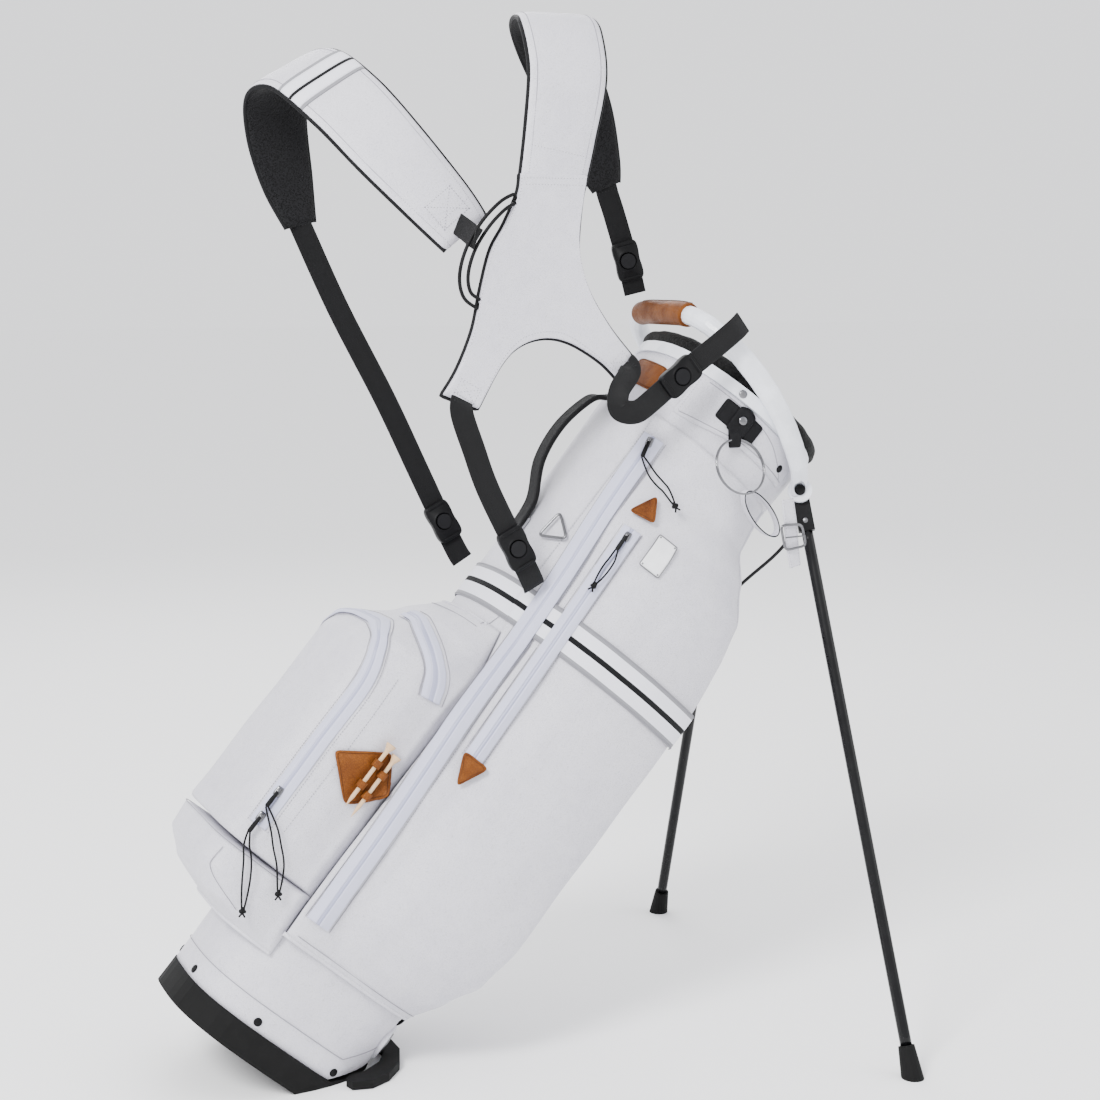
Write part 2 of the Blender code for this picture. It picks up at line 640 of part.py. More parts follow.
def make_trim():
    """Zip tapes, stripe band, name plate and cuffs."""
    for name, keys, width, lift in (("apparel_zip", APPAREL_ZIP, 0.024, 0.0058),
                                    ("slim_zip", SLIM_ZIP, 0.020, 0.0056),
                                    ("ball_zip", BALL_ZIP, 0.016, 0.0012),
                                    ("side_zip", SIDE_ZIP, 0.014, 0.0042)):
        shape = bmesh.new()
        strip_into(shape, smooth_path(keys, 3 if name == "side_zip" else 2), width, lift, 0.0010)
        from_bmesh(name, shape, ZIP_WHITE, bag)
    seam = keyed(SEAM, BAND_Z)
    end = keyed(POCKET_END, BAND_Z + BAND_WIDTH / 2)
    angles = [-end + 1] + spread(-end + 7, -seam - 6, 13) + [-seam - 2, -seam + 2.5, -seam + 6]
    angles += [angle for angle in spread(-20, 0, 3)]
    angles += [-angle for angle in angles[-2::-1]]

    def over_seam(angle, z, lift):
        return polar(angle, z, max(skin_radius(angle + side, z) for side in (-3.0, 0.0, 3.0)) + lift)
    rows = spread(BAND_Z - BAND_WIDTH / 2, BAND_Z + BAND_WIDTH / 2, 3)
    grids = [[[over_seam(a, z, lift) for a in angles] for z in rows] for lift in (0.0020, 0.0012)]
    slab("stripe_band", *grids, GREY_STRIPE, bag)
    patch("name_plate", 81.3, 0.673, rectangle(0.024, 0.040), 0.0016, WHITE_PLASTIC)
    make_cuffs()


def make_cuffs():
    """Stitched panel over each side of the tube's top."""
    for name, sign in (("cuff_panel_near", 1), ("cuff_panel_far", -1)):
        grids = []
        for lift in (0.0020, 0.0006):
            grid = []
            for t in spread(0.0, 1.0, 5):
                row = []
                for angle in spread(43.0, 126.0, 13):
                    low = 0.813 + 0.014 * ease(44, 90, angle)
                    row.append(on_skin(sign * angle, low + (SHELL_TOP - low) * t, lift))
                grid.append(row)
            grids.append(grid)
        slab(name, *grids, WHITE_LEATHER, bag)


def skin_place(angle, z, lift, turn=0.0):
    """Matrix of a flat piece on the skin: x around, y up the bag, z out, turned about z."""
    out = skin_normal(angle, z)
    up = (Vector((0, 0, 1)) - out * out.z).normalized()
    around = up.cross(out)
    basis = Matrix((around, up, out)).transposed().to_4x4()
    return Matrix.Translation(on_skin(angle, z, lift)) @ basis @ Matrix.Rotation(radians(turn), 4, "Z")


# ---- small fittings ----
def make_tees():
    """Leather holder with four loops and two wooden tees pushed through them."""
    holder = bmesh.new()
    patch_into(holder, 41.3, 0.303, [(-0.026, 0.002), (-0.002, -0.0355), (0.026, -0.002), (0.002, 0.0355)],
               0.0034, 0.0016)
    place = skin_place(41.3, 0.303, 0.0022)
    backing = bmesh.new()
    block_into(backing, (0.030, 0.042, 0.0030), place @ Matrix.Translation((0, 0, 0.0029)))
    shapes = [holder, backing]
    radius = 0.0022
    height = 0.0075
    for x in (-0.006, 0.007):
        for y in (-0.013, 0.013):
            grids = []
            for size in (radius + 0.0030, radius + 0.0005):
                grids.append([[place @ Vector((x + size * cos(2 * pi * k / 12), y + shift,
                                               height + size * sin(2 * pi * k / 12))) for k in range(12)]
                              for shift in (-0.004, 0.004)])
            loop = bmesh.new()
            slab_into(loop, *grids, ring=True)
            shapes.append(loop)
    joined("tee_holder", shapes, BROWN_LEATHER, bag)
    profile = ((0.0, -0.040), (0.0012, -0.034), (radius, -0.028), (radius, 0.026), (0.0032, 0.031),
               (0.0056, 0.036), (0.0056, 0.0375), (0.0, 0.0360))
    for name, x, shift in (("tee_a", -0.006, 0.004), ("tee_b", 0.007, -0.002)):
        made = turned(name, profile, WOOD, bag, 12)
        made.matrix_local = place @ Matrix.Translation((x, shift, height))


def make_slider(name, angle, z, lift, turn):
    """Zip slider with its moulded pull, lying along the zip."""
    place = bpy.data.objects.new(name + "_place", None)
    place.parent = bag
    place.matrix_local = skin_place(angle, z, lift, turn)
    bpy.context.collection.objects.link(place)
    body = bmesh.new()
    block_into(body, (0.008, 0.011, 0.0035), Matrix.Translation((0, 0, 0.00175)))
    pull = bmesh.new()
    block_into(pull, (0.0045, 0.020, 0.0030), Matrix.Translation((0, -0.010, 0.0045)))
    joined(name, [body, pull], BLACK_PLASTIC, place)


def fall_path(points, lift):
    """Cord path hanging over the skin through (angle, z) points."""
    return [on_skin(a, z, lift) for a, z in smooth_path(points, 5)]


def make_zip_pulls():
    """Sliders and the cord loops that hang from them."""
    make_slider("apparel_slider", 44.9, 0.768, 0.0074, 14.0)
    make_slider("slim_slider", 64.6, 0.668, 0.0070, 4.0)
    make_slider("ball_slider_a", 27.9, 0.2075, 0.0030, 0.0)
    make_slider("ball_slider_b", 27.6, 0.2380, 0.0030, 0.0)
    routes = (("apparel_pull_cord", ((49.5, 0.7445), (59.3, 0.738), (66.0, 0.735), (73.0, 0.728))),
              ("slim_pull_cord", ((65.2, 0.644), (65.4, 0.635), (65.6, 0.622), (65.8, 0.606))),
              ("ball_pull_cord_a", ((29.0, 0.182), (31.1, 0.172), (33.9, 0.152), (36.3, 0.123))),
              ("ball_pull_cord_b", ((31.0, 0.214), (34.0, 0.200), (38.6, 0.180), (41.6, 0.158))))
    for name, points in routes:
        wire(name, fall_path(points, 0.0105), CORD_RADIUS, BLACK_WEBBING, bag)


def make_rings():
    """Triangular towel ring, the big key ring and the snap tab that holds it."""
    place = skin_place(31.0, 0.634, 0.0060, -38.0)
    corners = polygon(3, 0.020, 90)
    outline = []
    for (u0, v0), (u1, v1) in zip(corners, corners[1:] + corners[:1]):
        outline += [(u0 + (u1 - u0) * t, v0 + (v1 - v0) * t) for t in (0.12, 0.5, 0.88)]
    wire("triangle_ring", [place @ Vector((u, -v, 0.0)) for u, v in outline], 0.0013, CHROME, bag,
         closed=True)
    strap = bmesh.new()
    patch_into(strap, 76.0, 0.848, rectangle(0.052, 0.026), 0.0026, 0.0020)
    flap = bmesh.new()
    patch_into(flap, 76.0, 0.849, rectangle(0.020, 0.026), 0.0040, 0.0027)
    shapes = [strap, flap]
    arch = skin_place(79.0, 0.829, 0.0026, 90 - LEAN)
    for y in (-0.0055, 0.0055):
        post = bmesh.new()
        block_into(post, (0.010, 0.0030, 0.0072), arch @ Matrix.Translation((0, y, 0.0036)))
        shapes.append(post)
    bridge = bmesh.new()
    block_into(bridge, (0.010, 0.0140, 0.0018), arch @ Matrix.Translation((0, 0, 0.0076)))
    shapes.append(bridge)
    button = skin_place(76.0, 0.850, 0.0060)
    stud = bmesh.new()
    cylinder_into(stud, 0.0052, button @ Vector((0, 0, 0)), button @ Vector((0, 0, 0.0028)), 16, 0.0038)
    shapes.append(stud)
    joined("snap_tab", shapes, BLACK_PLASTIC, bag)
    top = on_skin(79.0, 0.8290, 0.0070)
    normal = skin_normal(80.0, 0.80)
    down = Vector((0.652, 0.0, -0.758))
    fall = (down - normal * down.dot(normal)).normalized()
    across = normal.cross(fall)
    radius = 0.031
    fall = (fall + normal * 0.08).normalized()
    centre = top + fall * radius
    ring = [centre + (-fall * cos(2 * pi * k / 28) + across * sin(2 * pi * k / 28)) * radius
            for k in range(28)]
    wire("key_ring", ring, 0.0009, CHROME, bag, closed=True)


def make_straps_at_cuff():
    """White leather loop, and the short buckled strap under the near cuff."""
    shape = bmesh.new()
    centre = Vector((0.4765, -0.1175, 0.585))
    long_way = Vector((0.036, 0.0, -0.046)).normalized()
    short_way = Vector((0.046, 0.0, 0.036)).normalized()
    grids = []
    for wall in (0.0008, -0.0008):
        grids.append([[centre + long_way * (0.031 + wall) * cos(2 * pi * k / 24)
                       + short_way * (0.0125 + wall) * sin(2 * pi * k / 24) + Vector((0, depth, 0))
                       for k in range(24)] for depth in (-0.0055, 0.0055)])
    slab_into(shape, *grids, ring=True)
    from_bmesh("cuff_loop", shape, WHITE_LEATHER)
    shape = bmesh.new()
    facing = (0.12, -0.98, 0.15)
    band_into(shape, ((0.505, -0.1270, 0.600, *facing, 0.016), (0.508, -0.1285, 0.575, *facing, 0.017),
                      (0.511, -0.1285, 0.550, *facing, 0.017), (0.516, -0.1270, 0.526, *facing, 0.015)),
                      0.0022)
    from_bmesh("buckle_strap", shape, WHITE_LEATHER)
    corners = ((0.494, 0.573), (0.520, 0.573), (0.526, 0.549), (0.500, 0.545))
    points = []
    for (x0, z0), (x1, z1) in zip(corners, corners[1:] + corners[:1]):
        points += [(x0 + (x1 - x0) * t, -0.1326, z0 + (z1 - z0) * t) for t in (0.1, 0.5, 0.9)]
    wire("strap_buckle", points, 0.0014, CHROME, closed=True)
    wire("buckle_prong", ((0.4985, -0.1362, 0.5595), (0.5100, -0.1362, 0.5600), (0.5225, -0.1362, 0.5605)),
         0.0009,
         CHROME)


def make_spine_handle():
    """Webbing grab handle arched over the spine."""
    shape = bmesh.new()
    route = ((-0.1205, 0.800), (-0.128, 0.792), (-0.1405, 0.779), (-0.149, 0.736), (-0.143, 0.692),
             (-0.123, 0.656), (-0.1185, 0.635), (-0.1170, 0.612))
    across = []
    for i, (x, z) in enumerate(route):
        x0, z0 = route[max(i - 1, 0)]
        x1, z1 = route[min(i + 1, len(route) - 1)]
        face = Vector((z1 - z0, 0, -(x1 - x0))).normalized()
        across.append((x, 0.0, z, *face, 0.026))
    band_into(shape, across, 0.0045, steps=3)
    from_bmesh("spine_handle", shape, BLACK_WEBBING, bag)


# ---- legs and their linkage ----
def make_leg(name, side):
    """Hub, tube and rubber foot of one leg, on an empty at its pivot."""
    pivot = bpy.data.objects.new("pivot_" + name, None)
    pivot.matrix_world = pivot_place(side)
    bpy.context.collection.objects.link(pivot)
    shape = bmesh.new()
    cylinder_into(shape, 0.0095, (0, 0, -0.0062), (0, 0, 0.0062), 24)
    hub = from_bmesh("leg_hub_" + name, shape, BLACK_PLASTIC, pivot)
    shape = bmesh.new()
    block_into(shape, (HUB_LENGTH - 0.004, 0.018, 0.0124),
               Matrix.Translation(((HUB_LENGTH + 0.004) / 2, 0, 0)))
    combine(hub, "UNION", "block", shape, pivot)
    shape = bmesh.new()
    cylinder_into(shape, BOLT_RADIUS + GAP, (0, 0, -0.02), (0, 0, 0.02), 16)
    combine(hub, "DIFFERENCE", "bore", shape, pivot)
    reach = LEG_REACH.length
    shape = bmesh.new()
    cylinder_into(shape, LEG_RADIUS, (HUB_LENGTH + GAP, 0, 0), (reach - FOOT_LENGTH, 0, 0), 20)
    from_bmesh("leg_tube_" + name, shape, BLACK_ENAMEL, pivot)
    shape = bmesh.new()
    cylinder_into(shape, 0.0088, (reach - FOOT_LENGTH + GAP, 0, 0), (reach + 0.016, 0, 0), 20, 0.0135)
    ground = pivot_place(side).inverted()
    plane = ground @ Vector((0, 0, 0))
    up = (ground.to_3x3() @ Vector((0, 0, 1))).normalized()
    cut = bmesh.ops.bisect_plane(shape, geom=shape.verts[:] + shape.edges[:] + shape.faces[:], dist=1e-7,
                                 plane_co=plane, plane_no=up, clear_inner=True)["geom_cut"]
    bmesh.ops.edgeloop_fill(shape, edges=[item for item in cut if isinstance(item, bmesh.types.BMEdge)])
    from_bmesh("leg_foot_" + name, shape, BLACK_RUBBER, pivot)


def make_pivot_bolts():
    """Bolt with a round head and a nut through each ear and hub."""
    profile = ((0.0, -0.0120), (0.0050, -0.0120), (0.0050, -0.0066), (BOLT_RADIUS, -0.0066),
               (BOLT_RADIUS, 0.0129),
               (0.0062, 0.0129), (0.0062, 0.0152), (0.0050, 0.0162), (0.0, 0.0162))
    for name, side in (("near", -1), ("far", 1)):
        made = turned("pivot_bolt_" + name, profile, BLACK_PLASTIC, steps=16)
        made.matrix_world = pivot_place(side) @ Matrix.Rotation(radians(90), 4, "X")


ROD_ROUTE = ((0.129, -0.066, 0.806), (0.134, -0.050, 0.778), (0.133, -0.030, 0.735), (0.130, -0.016, 0.680),
             (0.129, -0.013, 0.600), (0.129, -0.013, 0.400), (0.129, -0.013, 0.200), (0.129, -0.012, 0.130),
             (0.129, -0.006, 0.112))


def make_linkage():
    """Bent push rod on the leg side and the foot lever that the ground pushes up."""
    route = [Vector(point) for point in ROD_ROUTE] + [Vector((x, -y, z)) for x, y, z in ROD_ROUTE[::-1]]
    wire("push_rod", smooth_path(route, 2), 0.0020, BLACK_ENAMEL, bag)
    hinge = bpy.data.objects.new("lever_hinge", None)
    hinge.location = (0.0660, 0.0, 0.0068)
    bpy.context.collection.objects.link(hinge)
    shape = bmesh.new()
    near_half = [(0.000, -0.040), (-0.014, -0.066), (-0.036, -0.084), (-0.052, -0.088), (-0.060, -0.096),
                 (-0.057, -0.108), (-0.036, -0.112), (-0.014, -0.100), (0.006, -0.075), (0.018, -0.040)]
    outline = near_half + [(x, -y) for x, y in near_half[::-1]]
    face = shape.faces.new([shape.verts.new((x, y, -0.0060)) for x, y in outline])
    raised = bmesh.ops.extrude_face_region(shape, geom=[face])["geom"]
    bmesh.ops.translate(shape, verts=[v for v in raised if isinstance(v, bmesh.types.BMVert)],
                        vec=(0, 0, 0.009))
    lever = from_bmesh("foot_lever", shape, BLACK_RUBBER, hinge)
    barrel = bmesh.new()
    cylinder_into(barrel, 0.0052, (0, -0.026, 0), (0, 0.026, 0), 16)
    combine(lever, "UNION", "barrel", barrel, hinge)


# ---- harness ----
NEAR_PAD = ((0.240, -0.090, 0.925, 0, -1, 0, 0.078), (0.254, -0.090, 0.985, 0, -1, 0, 0.080),
            (0.262, -0.084, 1.050, 0, -0.97, 0.2, 0.086), (0.268, -0.050, 1.100, 0, -0.6, 0.8, 0.088),
            (0.282, 0.006, 1.108, 0, 0.3, 0.95, 0.086), (0.312, 0.045, 1.070, 0.05, 0.93, 0.3, 0.078),
            (0.345, 0.064, 1.010, 0.1, 0.99, 0.1, 0.072), (0.367, 0.069, 0.965, 0.1, 0.99, 0.0, 0.050),
            (0.377, 0.070, 0.940, 0.1, 0.99, 0.0, 0.032))
YOKE = ((0.279, 0.945), (0.270, 0.880), (0.280, 0.832), (0.305, 0.790), (0.334, 0.756), (0.318, 0.731),
        (0.297, 0.751), (0.263, 0.771), (0.234, 0.777), (0.206, 0.770), (0.184, 0.750), (0.158, 0.705),
        (0.119, 0.720), (0.136, 0.746), (0.153, 0.786), (0.162, 0.827), (0.173, 0.867), (0.188, 0.893),
        (0.203, 0.925), (0.206, 0.945))
FAR_PAD = ((0.158, -0.060, 0.884, -0.15, -0.93, 0.35, 0.060),
           (0.134, -0.052, 0.914, -0.15, -0.93, 0.35, 0.070),
           (0.087, -0.034, 0.969, -0.2, -0.90, 0.4, 0.080), (0.047, -0.004, 1.020, -0.3, -0.75, 0.6, 0.085),
           (0.016, 0.042, 1.054, -0.4, -0.35, 0.85, 0.088), (0.000, 0.084, 1.042, -0.5, 0.5, 0.7, 0.084),
           (0.006, 0.108, 0.995, -0.3, 0.93, 0.1, 0.074), (0.018, 0.112, 0.940, -0.2, 0.97, 0.0, 0.058),
           (0.030, 0.107, 0.895, -0.2, 0.97, -0.1, 0.036))
BUCKLE_SIZE = (0.030, 0.046, 0.010)
BUTTON_RADIUS = 0.0085
# Middle of each buckle, the direction its webbing runs through it, and the way its button faces.
BUCKLES = (("upper_near", (0.374, -0.1260, 0.736), (0.78, 0.02, 0.62), (0.0, -1.0, 0.0)),
           ("lower_near", (0.196, -0.1040, 0.560), (0.46, 0.03, -0.89), (0.0, -1.0, 0.0)),
           ("upper_far", (0.402, 0.066, 0.858), (0.26, -0.02, -0.96), (-0.25, -0.95, -0.1)),
           ("lower_far", (0.188, 0.0980, 0.566), (0.46, -0.10, -0.88), (0.0, -1.0, 0.1)))


def buckle_place(centre, along, facing):
    """Matrix of a buckle: y along the webbing, z out of its face."""
    y = Vector(along).normalized()
    x = y.cross(Vector(facing)).normalized()
    basis = Matrix((x, y, x.cross(y))).transposed().to_4x4()
    return Matrix.Translation(centre) @ basis


def make_harness():
    """Padded shoulder straps, slotted slider, webbing, buckles and their push buttons."""
    shape = bmesh.new()
    band_into(shape, NEAR_PAD, PAD_THICK, steps=3)
    near = from_bmesh("shoulder_strap_near", shape, WHITE_LEATHER)
    shape = bmesh.new()
    face = shape.faces.new([shape.verts.new((x, -0.0974, z)) for x, z in YOKE])
    raised = bmesh.ops.extrude_face_region(shape, geom=[face])["geom"]
    bmesh.ops.translate(shape, verts=[v for v in raised if isinstance(v, bmesh.types.BMVert)],
                        vec=(0, PAD_THICK + 0.0008, 0))
    combine(near, "UNION", "yoke", shape)
    shape = bmesh.new()
    band_into(shape, FAR_PAD, PAD_THICK, steps=3)
    from_bmesh("shoulder_strap_far", shape, WHITE_LEATHER)
    shape = bmesh.new()
    arc = ((0.183, 0.912), (0.164, 0.893), (0.148, 0.868), (0.1405, 0.842), (0.144, 0.822))
    band_into(shape, [(x, -0.1010, z, 0, -1, 0, 0.0115) for x, z in arc], 0.0035, steps=3)
    from_bmesh("arc_slider", shape, BLACK_PLASTIC)
    make_webbing()


def make_webbing():
    """Four lengths of webbing, each with its buckle, and the buckles' push buttons."""
    near_face = (0.0, -1.0, 0.0)
    wide = WEB_WIDTH
    runs = (((0.326, -0.1045, 0.742, *near_face, wide), (0.308, -0.116, 0.722, *near_face, wide),
             (0.304, -0.1250, 0.704, *near_face, wide), (0.322, -0.1265, 0.700, *near_face, wide),
             (0.342, -0.1262, 0.712, *near_face, wide), (0.374, -0.1262, 0.736, *near_face, wide),
             (0.400, -0.1262, 0.756, *near_face, wide), (0.412, -0.1262, 0.764, *near_face, wide)),
            ((0.138, -0.0985, 0.704, *near_face, wide), (0.150, -0.102, 0.664, *near_face, wide),
             (0.165, -0.104, 0.622, *near_face, wide), (0.196, -0.1040, 0.560, *near_face, wide),
             (0.214, -0.101, 0.526, *near_face, wide), (0.2190, -0.0970, 0.5165, *near_face, wide)),
            ((0.379, 0.0700, 0.932, -0.25, -0.95, 0, wide), (0.386, 0.068, 0.910, -0.25, -0.95, 0, wide),
             (0.402, 0.066, 0.858, -0.25, -0.95, -0.1, wide), (0.4095, 0.0652, 0.829, -0.25, -0.95, 0, wide),
             (0.4115, 0.0650, 0.821, -0.25, -0.95, 0, wide)),
            ((0.034, 0.1065, 0.886, 0, -1, 0, wide), (0.071, 0.104, 0.804, 0, -1, 0, wide),
             (0.122, 0.101, 0.705, 0, -1, 0, wide), (0.160, 0.101, 0.625, 0, -1, 0, wide),
             (0.188, 0.0980, 0.566, 0, -1, 0.1, wide), (0.203, 0.0940, 0.532, 0, -1, 0, wide),
             (0.2090, 0.0910, 0.5215, 0, -1, 0, wide)))
    for (name, centre, along, facing), run in zip(BUCKLES, runs):
        place = buckle_place(centre, along, facing)
        body = bmesh.new()
        block_into(body, BUCKLE_SIZE, place)
        bmesh.ops.bevel(body, geom=body.edges[:], offset=0.0015, segments=1, affect="EDGES")
        webbing = bmesh.new()
        band_into(webbing, run, WEB_THICK)
        line = joined("webbing_" + name, [body, webbing], BLACK_WEBBING)
        recess = bmesh.new()
        cylinder_into(recess, BUTTON_RADIUS + 0.0006, place @ Vector((0, 0, 0.0010)),
                      place @ Vector((0, 0, 0.012)), 20)
        combine(line, "DIFFERENCE", name + "_recess", recess)
        button = bmesh.new()
        cylinder_into(button, BUTTON_RADIUS, (0, 0, 0.0036), (0, 0, 0.0066), 20)
        knob = from_bmesh("button_" + name, button, BLACK_PLASTIC)
        knob.matrix_world = place


make_base()
make_tube()
make_insides()
make_pockets()
make_top()
make_trim()
make_tees()
make_zip_pulls()
make_rings()
make_straps_at_cuff()
make_spine_handle()
make_leg("near", -1)
make_leg("far", 1)
make_pivot_bolts()
make_linkage()
make_harness()
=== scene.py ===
"""Golf stand bag leaning on its two deployed legs, with a double-strap harness.

Metres, +Z up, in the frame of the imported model. The bag's own pieces are placed by an angle about its
leaning axis (0 on the spine, 90 near side, 180 leg side, -90 far side) and a height z along it.
"""
import bpy
import numpy as np
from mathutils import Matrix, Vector


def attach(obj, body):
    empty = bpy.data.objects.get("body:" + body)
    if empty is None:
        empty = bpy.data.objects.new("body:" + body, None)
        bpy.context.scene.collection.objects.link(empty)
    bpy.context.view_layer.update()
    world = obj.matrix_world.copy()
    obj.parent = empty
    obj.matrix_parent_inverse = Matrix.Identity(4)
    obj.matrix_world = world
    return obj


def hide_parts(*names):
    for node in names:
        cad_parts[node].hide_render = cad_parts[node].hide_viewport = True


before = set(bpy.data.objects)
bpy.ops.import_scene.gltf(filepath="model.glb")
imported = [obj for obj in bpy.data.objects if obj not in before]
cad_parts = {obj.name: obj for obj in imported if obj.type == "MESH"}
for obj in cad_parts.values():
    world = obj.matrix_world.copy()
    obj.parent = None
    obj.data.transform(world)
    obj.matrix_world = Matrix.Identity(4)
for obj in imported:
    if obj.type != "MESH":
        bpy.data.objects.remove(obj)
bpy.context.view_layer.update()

# ---- Camera, floor and studio light ----
# A long lens near bag height looks at the near left of the bag; the floor and the room are pale and
# plain, with one large soft light over the camera's left shoulder and a weaker one on the right.
target = Vector((0.2782, 0.0, 0.5407))
azimuth, elevation = np.radians(-22.995), np.radians(7.748)
back = Vector((np.sin(azimuth) * np.cos(elevation), -np.cos(azimuth) * np.cos(elevation), np.sin(elevation)))
lens = bpy.data.cameras.new("camera")
lens.lens = 66.08
camera = bpy.data.objects.new("camera", lens)
camera.location = target + back * 2.2328
camera.rotation_euler = (-back).to_track_quat("-Z", "Y").to_euler()
bpy.context.collection.objects.link(camera)
bpy.context.scene.camera = camera

world = bpy.data.worlds.new("room")
world.use_nodes = True
world.node_tree.nodes["Background"].inputs["Color"].default_value = (0.97, 0.975, 1.0, 1.0)
world.node_tree.nodes["Background"].inputs["Strength"].default_value = 1.6
bpy.context.scene.world = world
for name, spot, power, size in (("key", (-1.9, -1.7, 2.7), 165, 1.0), ("fill", (2.4, -1.4, 1.5), 16, 1.8),
                                ("rear", (0.6, 2.4, 2.4), 38, 1.8)):
    lamp = bpy.data.lights.new(name, "AREA")
    lamp.energy = power
    lamp.size = size
    light = bpy.data.objects.new(name, lamp)
    light.location = spot
    light.rotation_euler = (Vector(spot) - Vector((0.25, 0, 0.5))).to_track_quat("Z", "Y").to_euler()
    bpy.context.collection.objects.link(light)
floor_mesh = bpy.data.meshes.new("floor")
floor_mesh.from_pydata([(-30, -30, 0), (30, -30, 0), (30, 30, 0), (-30, 30, 0)], [], [(0, 1, 2, 3)])
floor = bpy.data.objects.new("floor", floor_mesh)
bpy.context.collection.objects.link(floor)
paint = bpy.data.materials.new("floor_paint")
paint.use_nodes = True
paint.node_tree.nodes["Principled BSDF"].inputs["Base Color"].default_value = (0.98, 0.98, 0.98, 1)
paint.node_tree.nodes["Principled BSDF"].inputs["Roughness"].default_value = 0.9
floor_mesh.materials.append(paint)


# ---- Leather tube ----
# A stiffened tube of white embossed faux leather, five millimetres thick with a grey lining. It is sewn
# to a hem over the base cup and riveted under the moulded collar. Its section is a superellipse.
lean = np.radians(49.3)
facet_start, base_depth = 0.0365, 0.111
axis_x = np.array([np.sin(lean), 0.0, -np.cos(lean)])
axis_z = np.array([np.cos(lean), 0.0, np.sin(lean)])
bag_foot = np.array([-(base_depth - facet_start) / np.sin(lean) / 2, 0, 0]) - facet_start * axis_x
spine_half = ((0.0, 0.111), (0.10, 0.115), (0.50, 0.112), (0.87, 0.119))
leg_half = ((0.0, 0.111), (0.60, 0.114), (0.78, 0.098), (0.87, 0.104))
side_half = ((0.0, 0.094), (0.50, 0.097), (0.87, 0.107))
squareness = ((0.0, 3.0), (0.40, 2.6), (0.87, 2.3))
shell_top, rim_z, wall = 0.866, 0.880, 0.005


def place(points):
    """Bag frame to world: foot of the axis, plus x across, y along world y and z up the axis."""
    points = np.asarray(points, float)
    shifted = points[..., :1] * axis_x + points[..., 2:3] * axis_z + bag_foot
    return shifted + points[..., 1:2] * np.array([0.0, 1.0, 0.0])


def keyed(keys, at):
    """Value between (place, value) keys: two thirds straight line and one third S-curve."""
    places, values = np.transpose(np.array(keys, float))
    at = np.asarray(at, float)
    k = np.clip(np.searchsorted(places, at) - 1, 0, len(places) - 2)
    t = np.clip((at - places[k]) / (places[k + 1] - places[k]), 0, 1)
    return values[k] + (values[k + 1] - values[k]) * (0.35 * t * t * (3 - 2 * t) + 0.65 * t)


def ease(low, high, at):
    """0 below low, 1 above high, 3t^2 - 2t^3 between."""
    t = np.clip((np.asarray(at, float) - low) / (high - low), 0, 1)
    return t * t * (3 - 2 * t)


def tube_radius(angle, z):
    """Superellipse: (|cos a| / half x)^n + (|sin a| / half y)^n, to the power -1/n."""
    c, s = np.cos(np.radians(angle)), np.sin(np.radians(angle))
    half_x = np.where(c > 0, keyed(spine_half, z), keyed(leg_half, z))
    n = keyed(squareness, z)
    return ((np.abs(c) / half_x) ** n + (np.abs(s) / keyed(side_half, z)) ** n) ** (-1 / n)


def cup_rim(angle):
    """Height of the base cup's rim: 30 mm, or 8 mm above its chamfer where that is higher."""
    chamfer = (-tube_radius(angle, 0.02) * np.cos(np.radians(angle)) - facet_start) / np.tan(lean)
    return np.maximum(0.030, chamfer + 0.008 / np.sin(lean))


def polar(angle, z, radius):
    """World point at an angle about the bag's axis, a height along it and a radius."""
    angle, z, radius = np.broadcast_arrays(np.radians(angle), z, radius)
    return place(np.stack([-radius * np.cos(angle), -radius * np.sin(angle), z], -1))


def build(name, points, faces, looks, uv=None, marks=None, smooth=True):
    """A mesh piece at the origin; looks are its materials, marks the material of each face."""
    mesh = bpy.data.meshes.new(name)
    mesh.from_pydata(np.asarray(points, float).tolist(), [], [list(f) for f in faces])
    for look in looks if isinstance(looks, (list, tuple)) else [looks]:
        mesh.materials.append(look)
    if marks is not None:
        mesh.polygons.foreach_set("material_index", np.asarray(marks, np.int32))
    if uv is not None:
        layer = mesh.uv_layers.new(name="UVMap")
        corners = np.empty(len(mesh.loops), np.int32)
        mesh.loops.foreach_get("vertex_index", corners)
        layer.data.foreach_set("uv", np.asarray(uv, float)[corners].ravel())
    mesh.polygons.foreach_set("use_smooth", np.full(len(mesh.polygons), smooth))
    mesh.update()
    piece = bpy.data.objects.new(name, mesh)
    bpy.context.collection.objects.link(piece)
    return piece


def quads(rows, columns, ring=False, start=0):
    """Faces of a grid of points, joined round its columns for a ring."""
    i, j = np.meshgrid(np.arange(rows - 1), np.arange(columns if ring else columns - 1), indexing="ij")
    k = (j + 1) % columns
    return (np.stack([i * columns + j, i * columns + k, (i + 1) * columns + k, (i + 1) * columns + j], -1)
            .reshape(-1, 4) + start)


def spans(grid):
    """Distances run along a grid's rows and columns, in metres, as UV coordinates."""
    down = np.linalg.norm(np.diff(grid, axis=0), axis=-1).mean(1)
    over = np.linalg.norm(np.diff(grid, axis=1), axis=-1).mean(0)
    u, v = np.concatenate([[0], np.cumsum(over)]), np.concatenate([[0], np.cumsum(down)])
    return np.stack(np.meshgrid(u, v), -1).reshape(-1, 2)


